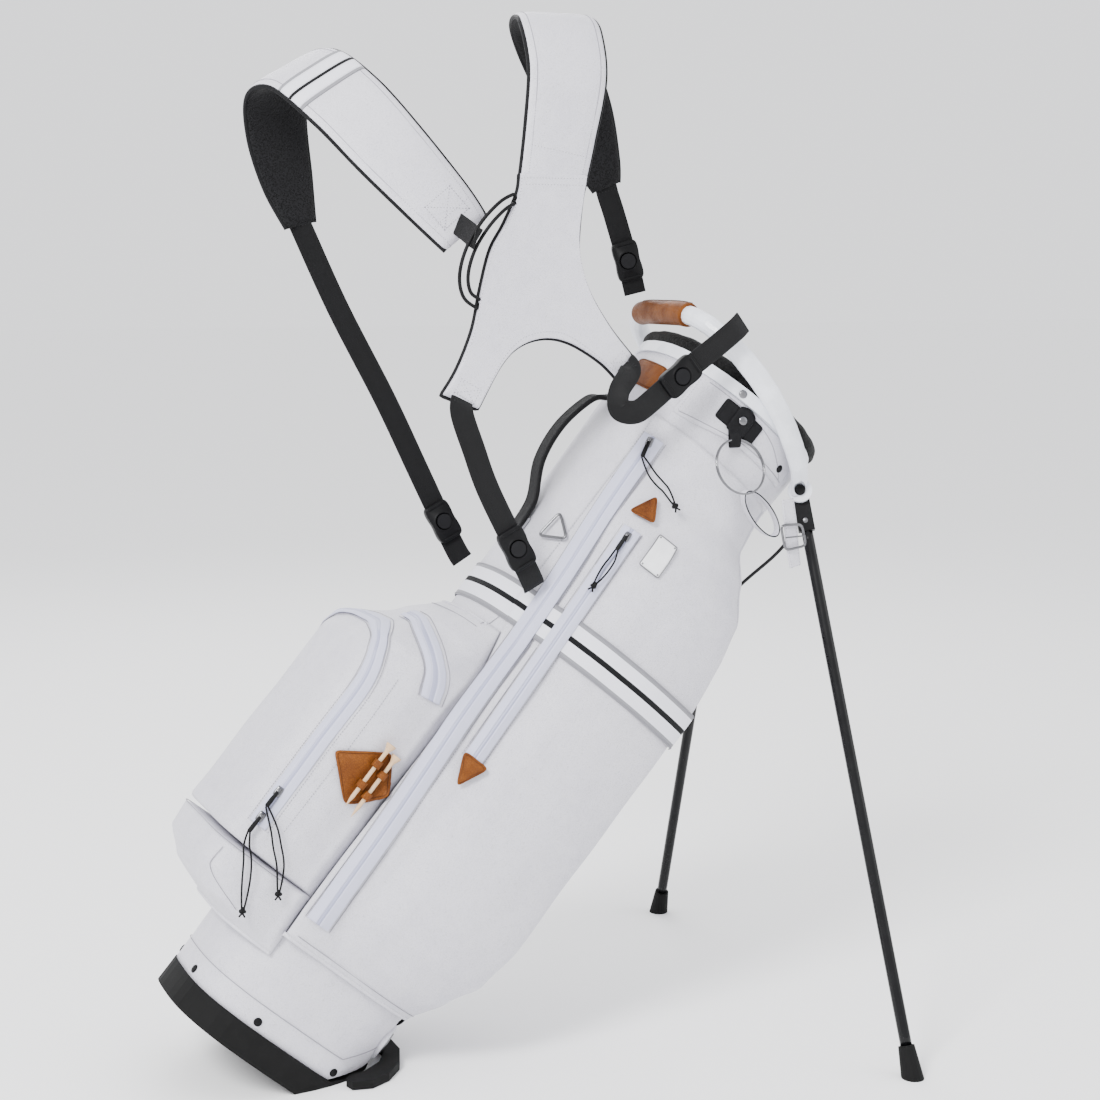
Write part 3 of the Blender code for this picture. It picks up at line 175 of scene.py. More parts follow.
def slab(name, outer, inner, looks, ring=False, marks=(0, 0, 0)):
    """Closed wall between two grids of the same shape; marks are the looks outside, inside, on edges."""
    rows, columns = outer.shape[:2]
    size = rows * columns
    front = quads(rows, columns, ring)
    rear = quads(rows, columns, ring, size)[:, ::-1]
    rim = [(j, (j + 1) % columns) for j in range(columns if ring else columns - 1)]
    rim += [((rows - 1) * columns + b, (rows - 1) * columns + a) for a, b in rim]
    if not ring:
        rim += [(b * columns, a * columns) for a, b in zip(range(rows - 1), range(1, rows))]
        rim += [(a * columns + columns - 1, b * columns + columns - 1) for a, b in
                zip(range(rows - 1), range(1, rows))]
    edge = [(b, a, a + size, b + size) for a, b in rim]
    faces = front.tolist() + rear.tolist() + edge
    face_marks = [marks[0]] * len(front) + [marks[1]] * len(rear) + [marks[2]] * len(edge)
    points = np.concatenate([outer.reshape(-1, 3), inner.reshape(-1, 3)])
    uv = np.concatenate([spans(outer)] * 2)
    piece = build(name, points, faces, looks, uv, face_marks)
    i, j = rows // 2, columns // 3
    here, beside, below = outer[i, j], outer[i, j + 1], outer[i + 1, j]
    if np.dot(np.cross(beside - here, below - here), here - inner[i, j]) < 0:
        piece.data.flip_normals()
    return piece


def stand_in(piece, node):
    """The piece stands for a CAD node, which is hidden."""
    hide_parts(node)
    return piece


def shader(name, colour, roughness, metallic=0.0, sheen=0.0, coat=0.0):
    """Principled material and a function that adds nodes to it; keyword i0 is input number 0."""
    made = bpy.data.materials.new(name)
    made.use_nodes = True
    tree = made.node_tree
    skin = tree.nodes["Principled BSDF"]
    skin.inputs["Base Color"].default_value = (*colour, 1)
    skin.inputs["Roughness"].default_value = roughness
    skin.inputs["Specular IOR Level"].default_value = 0.5 if max(colour) > 0.25 else 0.12
    skin.inputs["Metallic"].default_value = metallic
    skin.inputs["Sheen Weight"].default_value = sheen
    skin.inputs["Coat Weight"].default_value = coat
    return made, skin, adder(tree)


def adder(tree):
    """Function that adds one node to a tree, with its settings, values and links."""
    def add(kind, settings=None, **inputs):
        made = tree.nodes.new("ShaderNode" + kind)
        for key, value in (settings or {}).items():
            setattr(made, key, value)
        for key, value in inputs.items():
            socket = made.inputs[int(key[1:])] if key[1:].isdigit() else made.inputs[key.replace("_", " ")]
            if isinstance(value, bpy.types.NodeSocket):
                tree.links.new(value, socket)
            else:
                socket.default_value = value
        return made
    add.link = tree.links.new
    return add


def shared_group(name, ins, outs):
    """Empty shader group with float or colour sockets."""
    made = bpy.data.node_groups.new(name, "ShaderNodeTree")
    for kinds, way in ((ins, "INPUT"), (outs, "OUTPUT")):
        for label, kind in kinds:
            made.interface.new_socket(label, in_out=way, socket_type="NodeSocket" + kind)
    return made, made.nodes.new("NodeGroupInput"), made.nodes.new("NodeGroupOutput"), adder(made)


# Embossed grain: pebbles between creases, finer pores on them, and slow hollows in the hide. Its crease
# output is the mask of painted shade in the creases.
grain, given, out, add = shared_group("leather_grain", [("Place", "Vector"), ("Pebble", "Float")],
                                      [("Height", "Float"), ("CreaseShade", "Float")])
pebbles = add("TexVoronoi", {"feature": "DISTANCE_TO_EDGE"}, Vector=given.outputs["Place"],
              Scale=given.outputs["Pebble"])
crease = add("MapRange", i0=pebbles.outputs["Distance"], i1=0.0, i2=0.16, i3=0.0, i4=1.0)
pores = add("TexNoise", None, Vector=given.outputs["Place"], Scale=2600.0, Detail=2.0)
hollows = add("TexNoise", None, Vector=given.outputs["Place"], Scale=16.0, Detail=3.0)
fine = add("Math", {"operation": "MULTIPLY_ADD"}, i0=pores.outputs["Fac"], i1=0.35, i2=crease.outputs[0])
whole = add("Math", {"operation": "MULTIPLY_ADD"}, i0=hollows.outputs["Fac"], i1=2.4, i2=fine.outputs[0])
add.link(whole.outputs[0], out.inputs["Height"])
add.link(crease.outputs[0], out.inputs["CreaseShade"])

# Handling: uneven tone and gloss over a surface, from two sizes of noise.
wear, given, out, add = shared_group("handling", [("Place", "Vector"), ("Colour", "Color"),
                                                  ("Darker", "Color"),
                                                  ("Gloss", "Float"), ("Spread", "Float")],
                                     [("Colour", "Color"), ("Roughness", "Float")])
broad = add("TexNoise", None, Vector=given.outputs["Place"], Scale=7.0, Detail=4.0)
close = add("TexNoise", None, Vector=given.outputs["Place"], Scale=60.0, Detail=5.0)
both = add("Math", {"operation": "MULTIPLY"}, i0=broad.outputs["Fac"], i1=close.outputs["Fac"])
mask = add("MapRange", i0=both.outputs[0], i1=0.16, i2=0.42, i3=0.0, i4=1.0)
tint = add("Mix", {"data_type": "RGBA"}, i0=mask.outputs[0], i6=given.outputs["Colour"],
           i7=given.outputs["Darker"])
swing = add("Math", {"operation": "MULTIPLY_ADD"}, i0=mask.outputs[0], i1=given.outputs["Spread"],
            i2=given.outputs["Gloss"])
add.link(tint.outputs[2], out.inputs["Colour"])
add.link(swing.outputs[0], out.inputs["Roughness"])


def hide(name, colour, darker, roughness, pebble, bump, coat=0.0, spread=0.12):
    """Leather: grain in the bump, painted shade that darkens the creases a little, handling in tone and
    gloss.
    """
    made, skin, add = shader(name, colour, roughness, coat=coat)
    spot = add("TexCoord").outputs["Object"]
    embossed = add("Group", {"node_tree": grain}, Place=spot, Pebble=pebble)
    handled = add("Group", {"node_tree": wear}, Place=spot, Colour=(*colour, 1), Darker=(*darker, 1),
                  Gloss=roughness, Spread=spread)
    # Painted shade: the colour is multiplied darker along the grain's creases.
    crease_shade = add("Mix", {"data_type": "RGBA", "blend_type": "MULTIPLY"}, i0=0.35, i6=handled.outputs["Colour"],
               i7=embossed.outputs["CreaseShade"])
    lifted = add("Bump", None, Strength=bump, Distance=0.0006, Height=embossed.outputs["Height"])
    add.link(crease_shade.outputs[2], skin.inputs["Base Color"])
    add.link(handled.outputs["Roughness"], skin.inputs["Roughness"])
    add.link(lifted.outputs[0], skin.inputs["Normal"])
    return made


white = hide("white_leather", (0.72, 0.71, 0.77), (0.655, 0.645, 0.715), 0.42, 900.0, 0.30)

# Woven cloth: warp and weft as two crossed waves on the piece's own UV, in metres.
weave, given, out, add = shared_group("weave", [("Place", "Vector"), ("Threads", "Float")],
                                      [("Height", "Float"), ("CrownHighlight", "Float")])
waves = [add("TexWave", {"wave_type": "BANDS", "bands_direction": way, "wave_profile": "SIN"},
             Vector=given.outputs["Place"], Scale=given.outputs["Threads"]) for way in ("X", "Y")]
over = add("Math", {"operation": "MAXIMUM"}, i0=waves[0].outputs["Fac"], i1=waves[1].outputs["Fac"])
# Where both waves are high: the mask of the painted highlight on the thread crowns.
crown_highlight_mask = add("Math", {"operation": "MULTIPLY"}, i0=waves[0].outputs["Fac"], i1=waves[1].outputs["Fac"])
fuzz = add("TexNoise", None, Vector=given.outputs["Place"], Scale=900.0, Detail=3.0)
rough = add("Math", {"operation": "MULTIPLY_ADD"}, i0=fuzz.outputs["Fac"], i1=0.5, i2=over.outputs[0])
add.link(rough.outputs[0], out.inputs["Height"])
add.link(crown_highlight_mask.outputs[0], out.inputs["CrownHighlight"])


def cloth(name, colour, lighter, threads, bump, roughness=0.85, sheen=0.3, source="UV"):
    """Woven material: threads to the metre, with a painted highlight lightening the crowns of the threads and
    painted shade in the gaps between them.
    """
    made, skin, add = shader(name, colour, roughness, sheen=sheen)
    spot = add("TexCoord").outputs[source]
    woven = add("Group", {"node_tree": weave}, Place=spot, Threads=threads)
    # Painted highlight: the colour goes to the lighter one on the thread crowns, and stays darker between
    # them as painted shade.
    tone = add("Mix", {"data_type": "RGBA"}, i0=woven.outputs["CrownHighlight"], i6=(*colour, 1), i7=(*lighter, 1))
    lifted = add("Bump", None, Strength=bump, Distance=0.0005, Height=woven.outputs["Height"])
    add.link(tone.outputs[2], skin.inputs["Base Color"])
    add.link(lifted.outputs[0], skin.inputs["Normal"])
    return made


lining = cloth("grey_lining", (0.10, 0.10, 0.11), (0.16, 0.16, 0.17), 160.0, 0.5)
turn = np.linspace(0, 360, 180, endpoint=False)
cup_edge = cup_rim(turn) + 0.0003
up = np.linspace(0, 1, 90)[:, None]
height = cup_edge + (shell_top - cup_edge) * up
dents = 0.0012 * np.sin(np.radians(3 * turn) + 9 * height) * np.sin(21 * height + np.radians(2 * turn))
dents = dents * np.clip(8 * up, 0, 1) * np.clip(8 * (1 - up), 0, 1)
hem = 0.0010 * (1 - ease(0.0, 0.004, np.abs(height - cup_edge - 0.030)))
tube = slab("leather_tube", polar(turn, height, tube_radius(turn, height) + dents - 0.0004 - hem),
            polar(turn, height, tube_radius(turn, height) - wall), [white, lining], True, (0, 1, 0))
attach(tube, "bag")
stand_in(tube, "body_shell")

# ---- Side pockets, ball pocket and valuables pocket ----
# Four sewn white panels that stand off the tube: two long side pockets, a boxy ball pocket on the
# spine with a gusset round it, and a short valuables pocket under it. Edges are turned and piped.
seam_angle = ((0.0, 48.0), (0.44, 48.0), (0.56, 36.0), (0.80, 36.0))
pocket_end = ((0.50, 145.0), (0.60, 136.0), (0.80, 131.0))
side_low, side_high, ball_low, ball_high, low_edge = 0.125, 0.800, 0.1722, 0.510, 0.100
panel = 0.003
side_across = ((36.0, 0.0), (48.0, 0.002), (56.0, 0.012), (70.0, 0.030), (90.0, 0.046), (115.0, 0.060),
               (132.0, 0.070), (140.0, 0.060), (145.0, 0.040))
side_along = ((0.125, 0.10), (0.166, 0.55), (0.201, 0.89), (0.25, 1.0), (0.56, 1.0), (0.625, 0.88),
              (0.674, 0.75), (0.712, 0.44), (0.746, 0.10), (0.80, 0.02))
ball_along = ((0.10, 0.22), (0.118, 0.70), (0.14, 0.95), (0.18, 1.0), (0.41, 1.0), (0.43, 0.93),
              (0.471, 0.42), (0.51, 0.05))
shoulder = ((0.10, 0.010), (0.16, 0.022), (0.40, 0.022), (0.51, 0.0))
ball_front, ball_side = 0.204, 0.106


def side_depth(angle, z):
    """Across profile times along profile, plus the shoulder where the pocket meets the ball pocket."""
    angle = np.abs(angle)
    return (panel + keyed(side_across, angle) * keyed(side_along, z)
            + keyed(shoulder, z) * (1 - ease(48, 74, angle)))


def ball_depth(angle, z):
    """Squared box outline in front, easing into the shoulder at the sides, times the along profile."""
    c, s = np.cos(np.radians(angle)), np.sin(np.radians(np.abs(angle)))
    box = ((np.abs(c) / ball_front) ** 6 + (s / ball_side) ** 6) ** (-1 / 6)
    side = ease(37.0, 48.0, np.abs(angle))
    full = box - tube_radius(angle, z) - panel
    return panel + (full * (1 - side) + (0.004 + keyed(shoulder, z)) * side) * keyed(ball_along, z)


def slack(angle, z):
    """Soft hollows in a filled panel: three crossed sines, 1.5 mm deep at most."""
    a = np.radians(angle)
    waves = np.sin(5 * a + 23 * z) + np.sin(9 * a - 31 * z + 1.3) + np.sin(2.3 * a + 54 * z + 0.4)
    return 0.0005 * waves - 0.0010


def skin_radius(angle, z):
    """Outermost surface of the tube and its pockets."""
    angle, z = np.broadcast_arrays((np.asarray(angle, float) + 180) % 360 - 180, z)
    off, seam = np.abs(angle), keyed(seam_angle, z)
    side = (seam <= off) & (off <= keyed(pocket_end, z)) & (side_low <= z) & (z <= side_high)
    ball = (off < seam) & (low_edge <= z) & (z <= ball_high)
    return (tube_radius(angle, z) + np.where(side, side_depth(angle, z), 0)
            + np.where(ball, ball_depth(angle, z), 0))


def on_skin(angle, z, lift=0.0):
    """World point above the skin."""
    return polar(angle, z, skin_radius(angle, z) + lift)


def skin_out(angle, z):
    """Outward direction of the skin, from points 6 mm around."""
    angle, z = np.broadcast_arrays(np.asarray(angle, float), np.asarray(z, float))
    step = 0.006
    swing = np.degrees(step / skin_radius(angle, z))
    along = on_skin(angle, z + step) - on_skin(angle, z - step)
    around = on_skin(angle + swing, z) - on_skin(angle - swing, z)
    out = np.cross(along, around)
    out /= np.linalg.norm(out, axis=-1, keepdims=True)
    far = polar(angle, z, 1.0) - polar(angle, z, 0.0)
    return out * np.sign((out * far).sum(-1, keepdims=True))


def turned_edge(rows, columns, low, high, start, end):
    """How full a panel stands near its edges: 0 on the edge, quarter round in the first 5 mm."""
    v = np.linspace(0, high - low, rows)[:, None]
    u = np.linspace(0, 1, columns)[None, :] * np.radians(np.abs(end - start)) * 0.13
    gap = np.minimum(np.minimum(v, (high - low) - v), np.minimum(u, u[:, -1:] - u))
    return np.sqrt(1 - (1 - np.clip(gap / 0.005, 0, 1)) ** 2)


def pocket(name, low, high, rows, columns, start, end, depth, replaced):
    """Panel over a stretch of the skin: depth times its edge fullness, with a flat back."""
    z = np.linspace(low, high, rows)[:, None]
    angle = start(z) + (end(z) - start(z)) * np.linspace(0, 1, columns)[None, :]
    full = turned_edge(rows, columns, low, high, start(z), end(z))
    stand = (depth(angle, z) - 0.0016) * (0.45 + 0.55 * full) + slack(angle, z) * full
    inner = tube_radius(angle, z) + 0.0014
    made = slab(name, polar(angle, z, np.maximum(tube_radius(angle, z) + 0.0016 + stand, inner + 0.0006)),
                polar(angle, z, inner), white)
    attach(made, "bag")
    return stand_in(made, replaced)


for name, sign in (("near", 1), ("far", -1)):
    pocket("side_pocket_" + name, side_low, side_high, 170, 70, lambda z: sign * (keyed(seam_angle, z) + 0.6),
           lambda z: sign * keyed(pocket_end, z), side_depth, "apparel_pocket_" + name)
for name, low, high, rows in (("ball_pocket", ball_low, ball_high, 90),
                              ("valuables_pocket", low_edge, 0.1718, 30)):
    pocket(name + "_panel", low, high, rows, 110, lambda z: -keyed(seam_angle, z) + 0.4,
           lambda z: keyed(seam_angle, z) - 0.4, ball_depth, name)

# ---- Piping, seams and stitching ----
# Every panel edge is finished with a narrow turned piping, and a row of thread runs beside the seams.
# Threads are dashes pulled into the leather, in dark grey on white, grey on plastic and tan on brown.


def smooth(points, steps=12, closed=False):
    """Catmull-Rom curve through points, with steps samples to each stretch."""
    points = np.asarray(points, float)
    ends = np.concatenate([points[-1:], points, points[:2]] if closed else [points[:1], points, points[-1:]])
    a, b, c, d = (ends[k:len(ends) - 3 + k, None] for k in range(4))
    t = (np.arange(steps) / steps)[None, :, None]
    second, third = 2 * a - 5 * b + 4 * c - d, 3 * b - a - 3 * c + d
    curve = 0.5 * (2 * b + (c - a) * t + second * t ** 2 + third * t ** 3)
    curve = curve.reshape(-1, points.shape[1])
    return curve if closed else np.concatenate([curve, points[-1:]])


def walked(points):
    """Distance along a line to each of its points."""
    return np.concatenate([[0], np.cumsum(np.linalg.norm(np.diff(points, axis=0), axis=1))])


def evenly(points, gap):
    """The same line with points a set gap apart, or as near to it as fits."""
    run = walked(points)
    marks = np.linspace(0, run[-1], max(2, int(round(run[-1] / gap)) + 1))
    return np.stack([np.interp(marks, run, points[:, k]) for k in range(points.shape[1])], 1)


def unit(rows):
    """Rows scaled to length one."""
    return rows / np.maximum(np.linalg.norm(rows, axis=-1, keepdims=True), 1e-12)


def whole_turn(count):
    """Evenly spread angles of one turn, in radians."""
    return np.linspace(0, 2 * np.pi, count, endpoint=False)


def thread(name, runs, look, body="bag", pitch=0.0034, size=0.00046, lift=0.0001):
    """Stitches: each run is (points, outward directions); a dash is a long eight-faced bead."""
    beads = []
    for points, out in runs:
        line = evenly(np.concatenate([points, np.broadcast_to(out, points.shape)], 1), pitch)
        points, out = line[:, :3], unit(line[:, 3:])
        ahead = heading(points)
        side = unit(np.cross(ahead, out))
        middle = points + out * lift
        beads.append(np.stack([middle - ahead * pitch * 0.36 - out * size * 1.2, middle + side * size,
                               middle + out * size, middle - side * size, middle - out * size,
                               middle + ahead * pitch * 0.36 - out * size * 1.2], 1))
    beads = np.concatenate(beads)
    bead = np.array([(0, 2, 1), (0, 3, 2), (0, 4, 3), (0, 1, 4), (5, 1, 2), (5, 2, 3), (5, 3, 4), (5, 4, 1)])
    faces = (bead[None] + 6 * np.arange(len(beads))[:, None, None]).reshape(-1, 3)
    piece = build(name, beads.reshape(-1, 3), faces, look)
    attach(piece, body)
    return piece


def heading(path):
    """Unit direction of a path at each of its points."""
    return unit(np.gradient(path, axis=0))


def drawn(keys, steps, gap):
    """Smooth line through (angle, z) keys with even points; a degree counts as 2 mm of the skin."""
    degree = np.array([1.0, 500.0])
    return evenly(smooth(keys, steps) * degree, gap) / degree


def skin_run(keys, lift, sign=1, steps=10):
    """World points and outward directions of a line drawn on the skin by (angle, z) keys."""
    line = drawn(keys, steps, 1.5)
    angle, z = line[:, 0] * sign, line[:, 1]
    return on_skin(angle, z, lift), skin_out(angle, z)


def bar(name, path, face, half_wide, half_thick, looks, body="bag", square=2.0, sides=24, closed=False,
        marks=None, cap=True):
    """Bar of superellipse section |x/wide|^n + |y/thick|^n = 1 along a path; face is its flat side's
    direction, and marks gives the material of each strip of the section from its angle."""
    path = np.asarray(path, float)
    ahead = unit(np.roll(path, -1, 0) - np.roll(path, 1, 0)) if closed else heading(path)
    face = unit(np.broadcast_to(np.asarray(face, float), path.shape))
    face = unit(face - ahead * (face * ahead).sum(1, keepdims=True))
    side = np.cross(ahead, face)
    around = whole_turn(sides)
    c, s = np.cos(around), np.sin(around)
    reach = (np.abs(c) ** square + np.abs(s) ** square) ** (-1 / square)
    wide = np.broadcast_to(np.asarray(half_wide, float), len(path))[:, None]
    thick = np.broadcast_to(np.asarray(half_thick, float), len(path))[:, None]
    grid = (path[:, None] + side[:, None] * (wide * c * reach)[..., None]
            + face[:, None] * (thick * s * reach)[..., None])
    faces = quads(len(path) + (1 if closed else 0), sides, True) % (len(path) * sides)
    strips = np.tile(np.arange(sides), len(faces) // sides)
    face_marks = np.zeros(len(faces), int) if marks is None else np.asarray(marks(around))[strips]
    faces = faces.tolist()
    if cap and not closed:
        faces += [list(range(sides))[::-1], [(len(path) - 1) * sides + k for k in range(sides)]]
        face_marks = np.concatenate([face_marks, [face_marks.max()] * 2])
    run = walked(path)
    width = np.repeat(np.maximum(np.max(wide), np.max(thick)), sides) * around
    uv = np.stack(np.broadcast_arrays(run[:, None], width[None, :]), -1).reshape(-1, 2)
    piece = build(name, grid.reshape(-1, 3), faces, looks, uv, face_marks)
    if len(path) > 1:
        first = grid[0] - path[0]
        if np.dot(np.cross(first[1] - first[0], ahead[0]), first[0]) < 0:
            piece.data.flip_normals()
    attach(piece, body)
    return piece


# The thread on the white leather is coloured dark grey, darker than the leather.
dark_grey_thread = shader("dark_grey_thread", (0.26, 0.25, 0.29), 0.7)[0]
for name, sign in (("near", 1), ("far", -1)):
    spread = np.linspace(48.6, 144.5, 120)
    edge_down = np.stack([sign * spread, np.full_like(spread, side_low + 0.001)], 1)
    line = on_skin(edge_down[:, 0], edge_down[:, 1] + 0.001, -0.0024)
    bar("side_pocket_welt_" + name, line, skin_out(edge_down[:, 0], edge_down[:, 1] + 0.01), 0.0024, 0.0024,
        white, sides=12)
    rise = np.linspace(side_low + 0.002, side_high - 0.002, 200)
    back = sign * (keyed(pocket_end, rise) - 0.5)
    bar("side_pocket_back_welt_" + name, on_skin(back, rise, -0.0020), skin_out(back, rise), 0.0018, 0.0018,
        white, sides=10)
across = np.linspace(-47.4, 47.4, 120)
bar("gusset_welt", on_skin(across, low_edge + 0.0015, -0.0022), skin_out(across, low_edge + 0.012), 0.0022,
    0.0022, white, sides=12)
top_seam = np.linspace(-33, 33, 90)
bar("ball_pocket_top_welt", on_skin(top_seam, ball_high - 0.002, -0.0012),
    skin_out(top_seam, ball_high - 0.002),
    0.0013, 0.0013, white, sides=10)
runs = []
for sign in (1, -1):
    runs += [skin_run(((55.0, 0.1335), (90.0, 0.1335), (140.0, 0.1335)), 0.0, sign),
             skin_run(((31.0, 0.505), (36.5, 0.55), (37.5, 0.66), (37.5, 0.79)), 0.0, sign),
             skin_run(((33.5, 0.21), (33.5, 0.34), (33.0, 0.40)), 0.0, sign),
             skin_run(((33.0, 0.118), (24.0, 0.135), (24.0, 0.160)), 0.0, sign)]
runs.append(skin_run(((-40.0, 0.1685), (0.0, 0.1685), (40.0, 0.1685)), 0.0))
runs.append(skin_run(((-31.0, 0.499), (0.0, 0.499), (31.0, 0.499)), 0.0))
thread("pocket_stitching", runs, dark_grey_thread)
hem_angle = np.linspace(0, 360, 400)
hem_seam = cup_rim(hem_angle) + 0.026
hem_points = polar(hem_angle, hem_seam, tube_radius(hem_angle, hem_seam) + 0.0002)
hem_out = unit(hem_points - polar(hem_angle, hem_seam, 0.0))
thread("hem_stitching", [(hem_points, hem_out)], dark_grey_thread)

# ---- Zips ----
# Lavender-white reverse coil zips: a woven tape sewn down along both edges, with the coil standing as a
# fine ridge under two folded lips; the coil strip is painted darker, as shade in the gap between the lips.
# The ball pocket's zip runs round its front, and the short one over it.
tape = cloth("zip_tape", (0.55, 0.56, 0.72), (0.66, 0.67, 0.82), 300.0, 0.5, 0.6, 0.1)
# Painted shade: the coil strip sunk between the lips is coloured darker than the tape, for the shade in the
# gap.
coil_groove_shade = shader("zip_coil_groove_shade", (0.36, 0.37, 0.52), 0.35)[0]


def skin_strip(name, keys, lift, profile, looks, body="bag", steps=14, marks=None, thin=0.0006,
               replaced=None):
    """Strip along (angle, z) keys on the skin; profile is rows of (offset across, height) in metres."""
    line = drawn(keys, steps, 0.9)
    angle, z = line[:, 0], line[:, 1]
    radius = skin_radius(angle, z)
    ahead = unit(np.stack([np.gradient(np.radians(angle)) * radius, np.gradient(z)], 1))
    across, high = np.transpose(profile)
    a = angle[:, None] + np.degrees(-ahead[:, 1:] * across / radius[:, None])
    h = z[:, None] + ahead[:, :1] * across
    top = on_skin(a, h, lift + high)
    made = slab(name, top, on_skin(a, h, lift - thin), looks)
    if marks is not None:
        top_marks = np.tile(marks, len(line) - 1)
        other_marks = np.zeros(len(made.data.polygons) - len(top_marks), int)
        made.data.polygons.foreach_set("material_index", np.concatenate([top_marks, other_marks]))
    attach(made, body)
    return stand_in(made, replaced) if replaced else made


def zip_profile(width, rise=0.0):
    """Across a zip: flat tape, folded lip, coil ridge, lip and tape again."""
    w = width / 2
    half = ((-w, 0.0), (-w + 0.0006, 0.0009), (-0.0042, 0.0012), (-0.0036, 0.0019), (-0.0022, 0.0021),
            (-0.0017, 0.0006), (-0.0011, 0.0014), (0.0, 0.0017))
    return [(a, h + rise) for a, h in half] + [(-a, h + rise) for a, h in half[-2::-1]]


side_zip_keys = ((44.7, 0.776), (46.4, 0.689), (50.1, 0.591), (52.8, 0.480), (55.9, 0.371), (58.2, 0.262),
                 (59.1, 0.155))
slim_zip_keys = ((64.4, 0.679), (65.7, 0.599), (67.8, 0.488), (69.5, 0.383))
ball_zip_keys = ((-27.5, 0.20), (-27.5, 0.30), (-27.0, 0.385), (-22.0, 0.425), (-11.0, 0.440), (0.0, 0.442),
                 (11.0, 0.440), (22.0, 0.425), (27.0, 0.385), (27.5, 0.30), (28.0, 0.199))
short_zip_keys = ((1.5, 0.470), (15.0, 0.468), (28.3, 0.455), (37.9, 0.434), (42.0, 0.405))
groove_shade_marks = np.array([0, 0, 0, 0, 0, 1, 1, 1, 1, 0, 0, 0, 0, 0])
zips = (("apparel_zip", side_zip_keys, 0.024, 0.0040), ("slim_zip", slim_zip_keys, 0.020, 0.0038),
        ("ball_zip", ball_zip_keys, 0.016, 0.0010), ("side_zip", short_zip_keys, 0.014, 0.0030))
for name, keys, width, lift in zips:
    skin_strip(name + "_tape", keys, lift, zip_profile(width), [tape, coil_groove_shade], marks=groove_shade_marks, replaced=name)
    line = drawn(keys, 12, 1.5)
    ahead = unit(np.stack([np.gradient(np.radians(line[:, 0])) * skin_radius(*line.T),
                           np.gradient(line[:, 1])], 1))
    runs = []
    for side in (-1, 1):
        offset = side * (width / 2 + 0.0022)
        a = line[:, 0] - np.degrees(ahead[:, 1] * offset / skin_radius(*line.T))
        h = line[:, 1] + ahead[:, 0] * offset
        runs.append((on_skin(a, h, 0.0002), skin_out(a, h)))
    thread(name + "_stitching", runs, dark_grey_thread)

# ---- Striped band ----
# A woven band sewn round the bag at its waist: grey edge, white, a black line, white and grey edge.
grey_weave = cloth("grey_stripe", (0.20, 0.20, 0.22), (0.36, 0.36, 0.39), 260.0, 0.6, 0.75)
pale_weave = cloth("pale_stripe", (0.76, 0.76, 0.84), (0.84, 0.84, 0.90), 260.0, 0.5, 0.7)
black_weave = cloth("black_stripe", (0.004, 0.004, 0.005), (0.014, 0.014, 0.015), 260.0, 0.6, 0.8, 0.05)
band_z, band_half = 0.545, 0.022
band_end = float(keyed(pocket_end, band_z + band_half)) - 1.2
band_rows = [(-band_half, 0.0), (-band_half + 0.0005, 0.0007), (-0.0165, 0.0009), (-0.0030, 0.0009),
             (0.0030, 0.0009), (0.0165, 0.0009), (band_half - 0.0005, 0.0007), (band_half, 0.0)]
skin_strip("waist_band", [(a, band_z) for a in np.linspace(-band_end, band_end, 24)], 0.0018, band_rows,
           [grey_weave, pale_weave, black_weave], marks=np.array([0, 0, 1, 2, 1, 0, 0]),
           replaced="stripe_band")
runs = []
for side in (-1, 1):
    a = np.linspace(-band_end, band_end, 500)
    runs.append((on_skin(a, band_z + side * 0.0205, 0.0028), skin_out(a, band_z + side * 0.0205)))
thread("waist_band_stitching", runs, dark_grey_thread, pitch=0.0030, size=0.00026)

# ---- Hem rivets, base and medallion ----
# Black rivets hold the hem to the moulded rubber cup. Beside the legs a white leather disc carries a
# plain turned metal medallion. The cup is chamfered on the leg side, where the bag rests on the ground.


def studs(name, spots, outs, profile, look, body="bag", sides=24):
    """Turned parts: a (radius, height) profile spun round each spot's outward direction."""
    spots, outs = np.atleast_2d(spots), unit(np.atleast_2d(outs))
    radius, high = np.transpose(profile)
    some = np.where(np.abs(outs[:, :1]) < 0.9, [[1.0, 0, 0]], [[0, 1.0, 0]])
    first = unit(np.cross(outs, some))
    second = np.cross(outs, first)
    spin = whole_turn(sides)
    ring = first[:, None] * np.cos(spin)[:, None] + second[:, None] * np.sin(spin)[:, None]
    raised = (outs[:, None] * high[:, None])[:, :, None]
    grid = spots[:, None, None] + ring[:, None] * radius[:, None, None] + raised
    faces = []
    for k in range(len(spots)):
        start = k * len(radius) * sides
        faces += quads(len(radius), sides, True, start).tolist()
        faces += [list(range(start, start + sides))[::-1],
                  list(range(start + (len(radius) - 1) * sides, start + len(radius) * sides))]
    piece = build(name, grid.reshape(-1, 3), faces, look)
    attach(piece, body)
    return piece


def hard(name, colour, worn, roughness, metallic, coat, spread, fine, detail, strength, depth):
    """Hard material: handling in tone and gloss, and a fine noise raised by strength and depth."""
    made, skin, add = shader(name, colour, roughness, metallic, coat=coat)
    spot = add("TexCoord").outputs["Object"]
    handled = add("Group", {"node_tree": wear}, Place=spot, Colour=(*colour, 1), Darker=(*worn, 1),
                  Gloss=roughness, Spread=spread)
    speck = add("TexNoise", None, Vector=spot, Scale=fine, Detail=detail)
    lifted = add("Bump", None, Strength=strength, Distance=depth, Height=speck.outputs["Fac"])
    add.link(handled.outputs["Colour"], skin.inputs["Base Color"])
    add.link(handled.outputs["Roughness"], skin.inputs["Roughness"])
    add.link(lifted.outputs[0], skin.inputs["Normal"])
    return made


def metal(name, colour, roughness, scratch=0.0, coat=0.0):
    """Metal: fine scratches and handling in the roughness."""
    worn = tuple(0.72 * c for c in colour)
    return hard(name, colour, worn, roughness, 1.0, coat, 0.14, 900.0, 4.0, scratch, 0.0002)


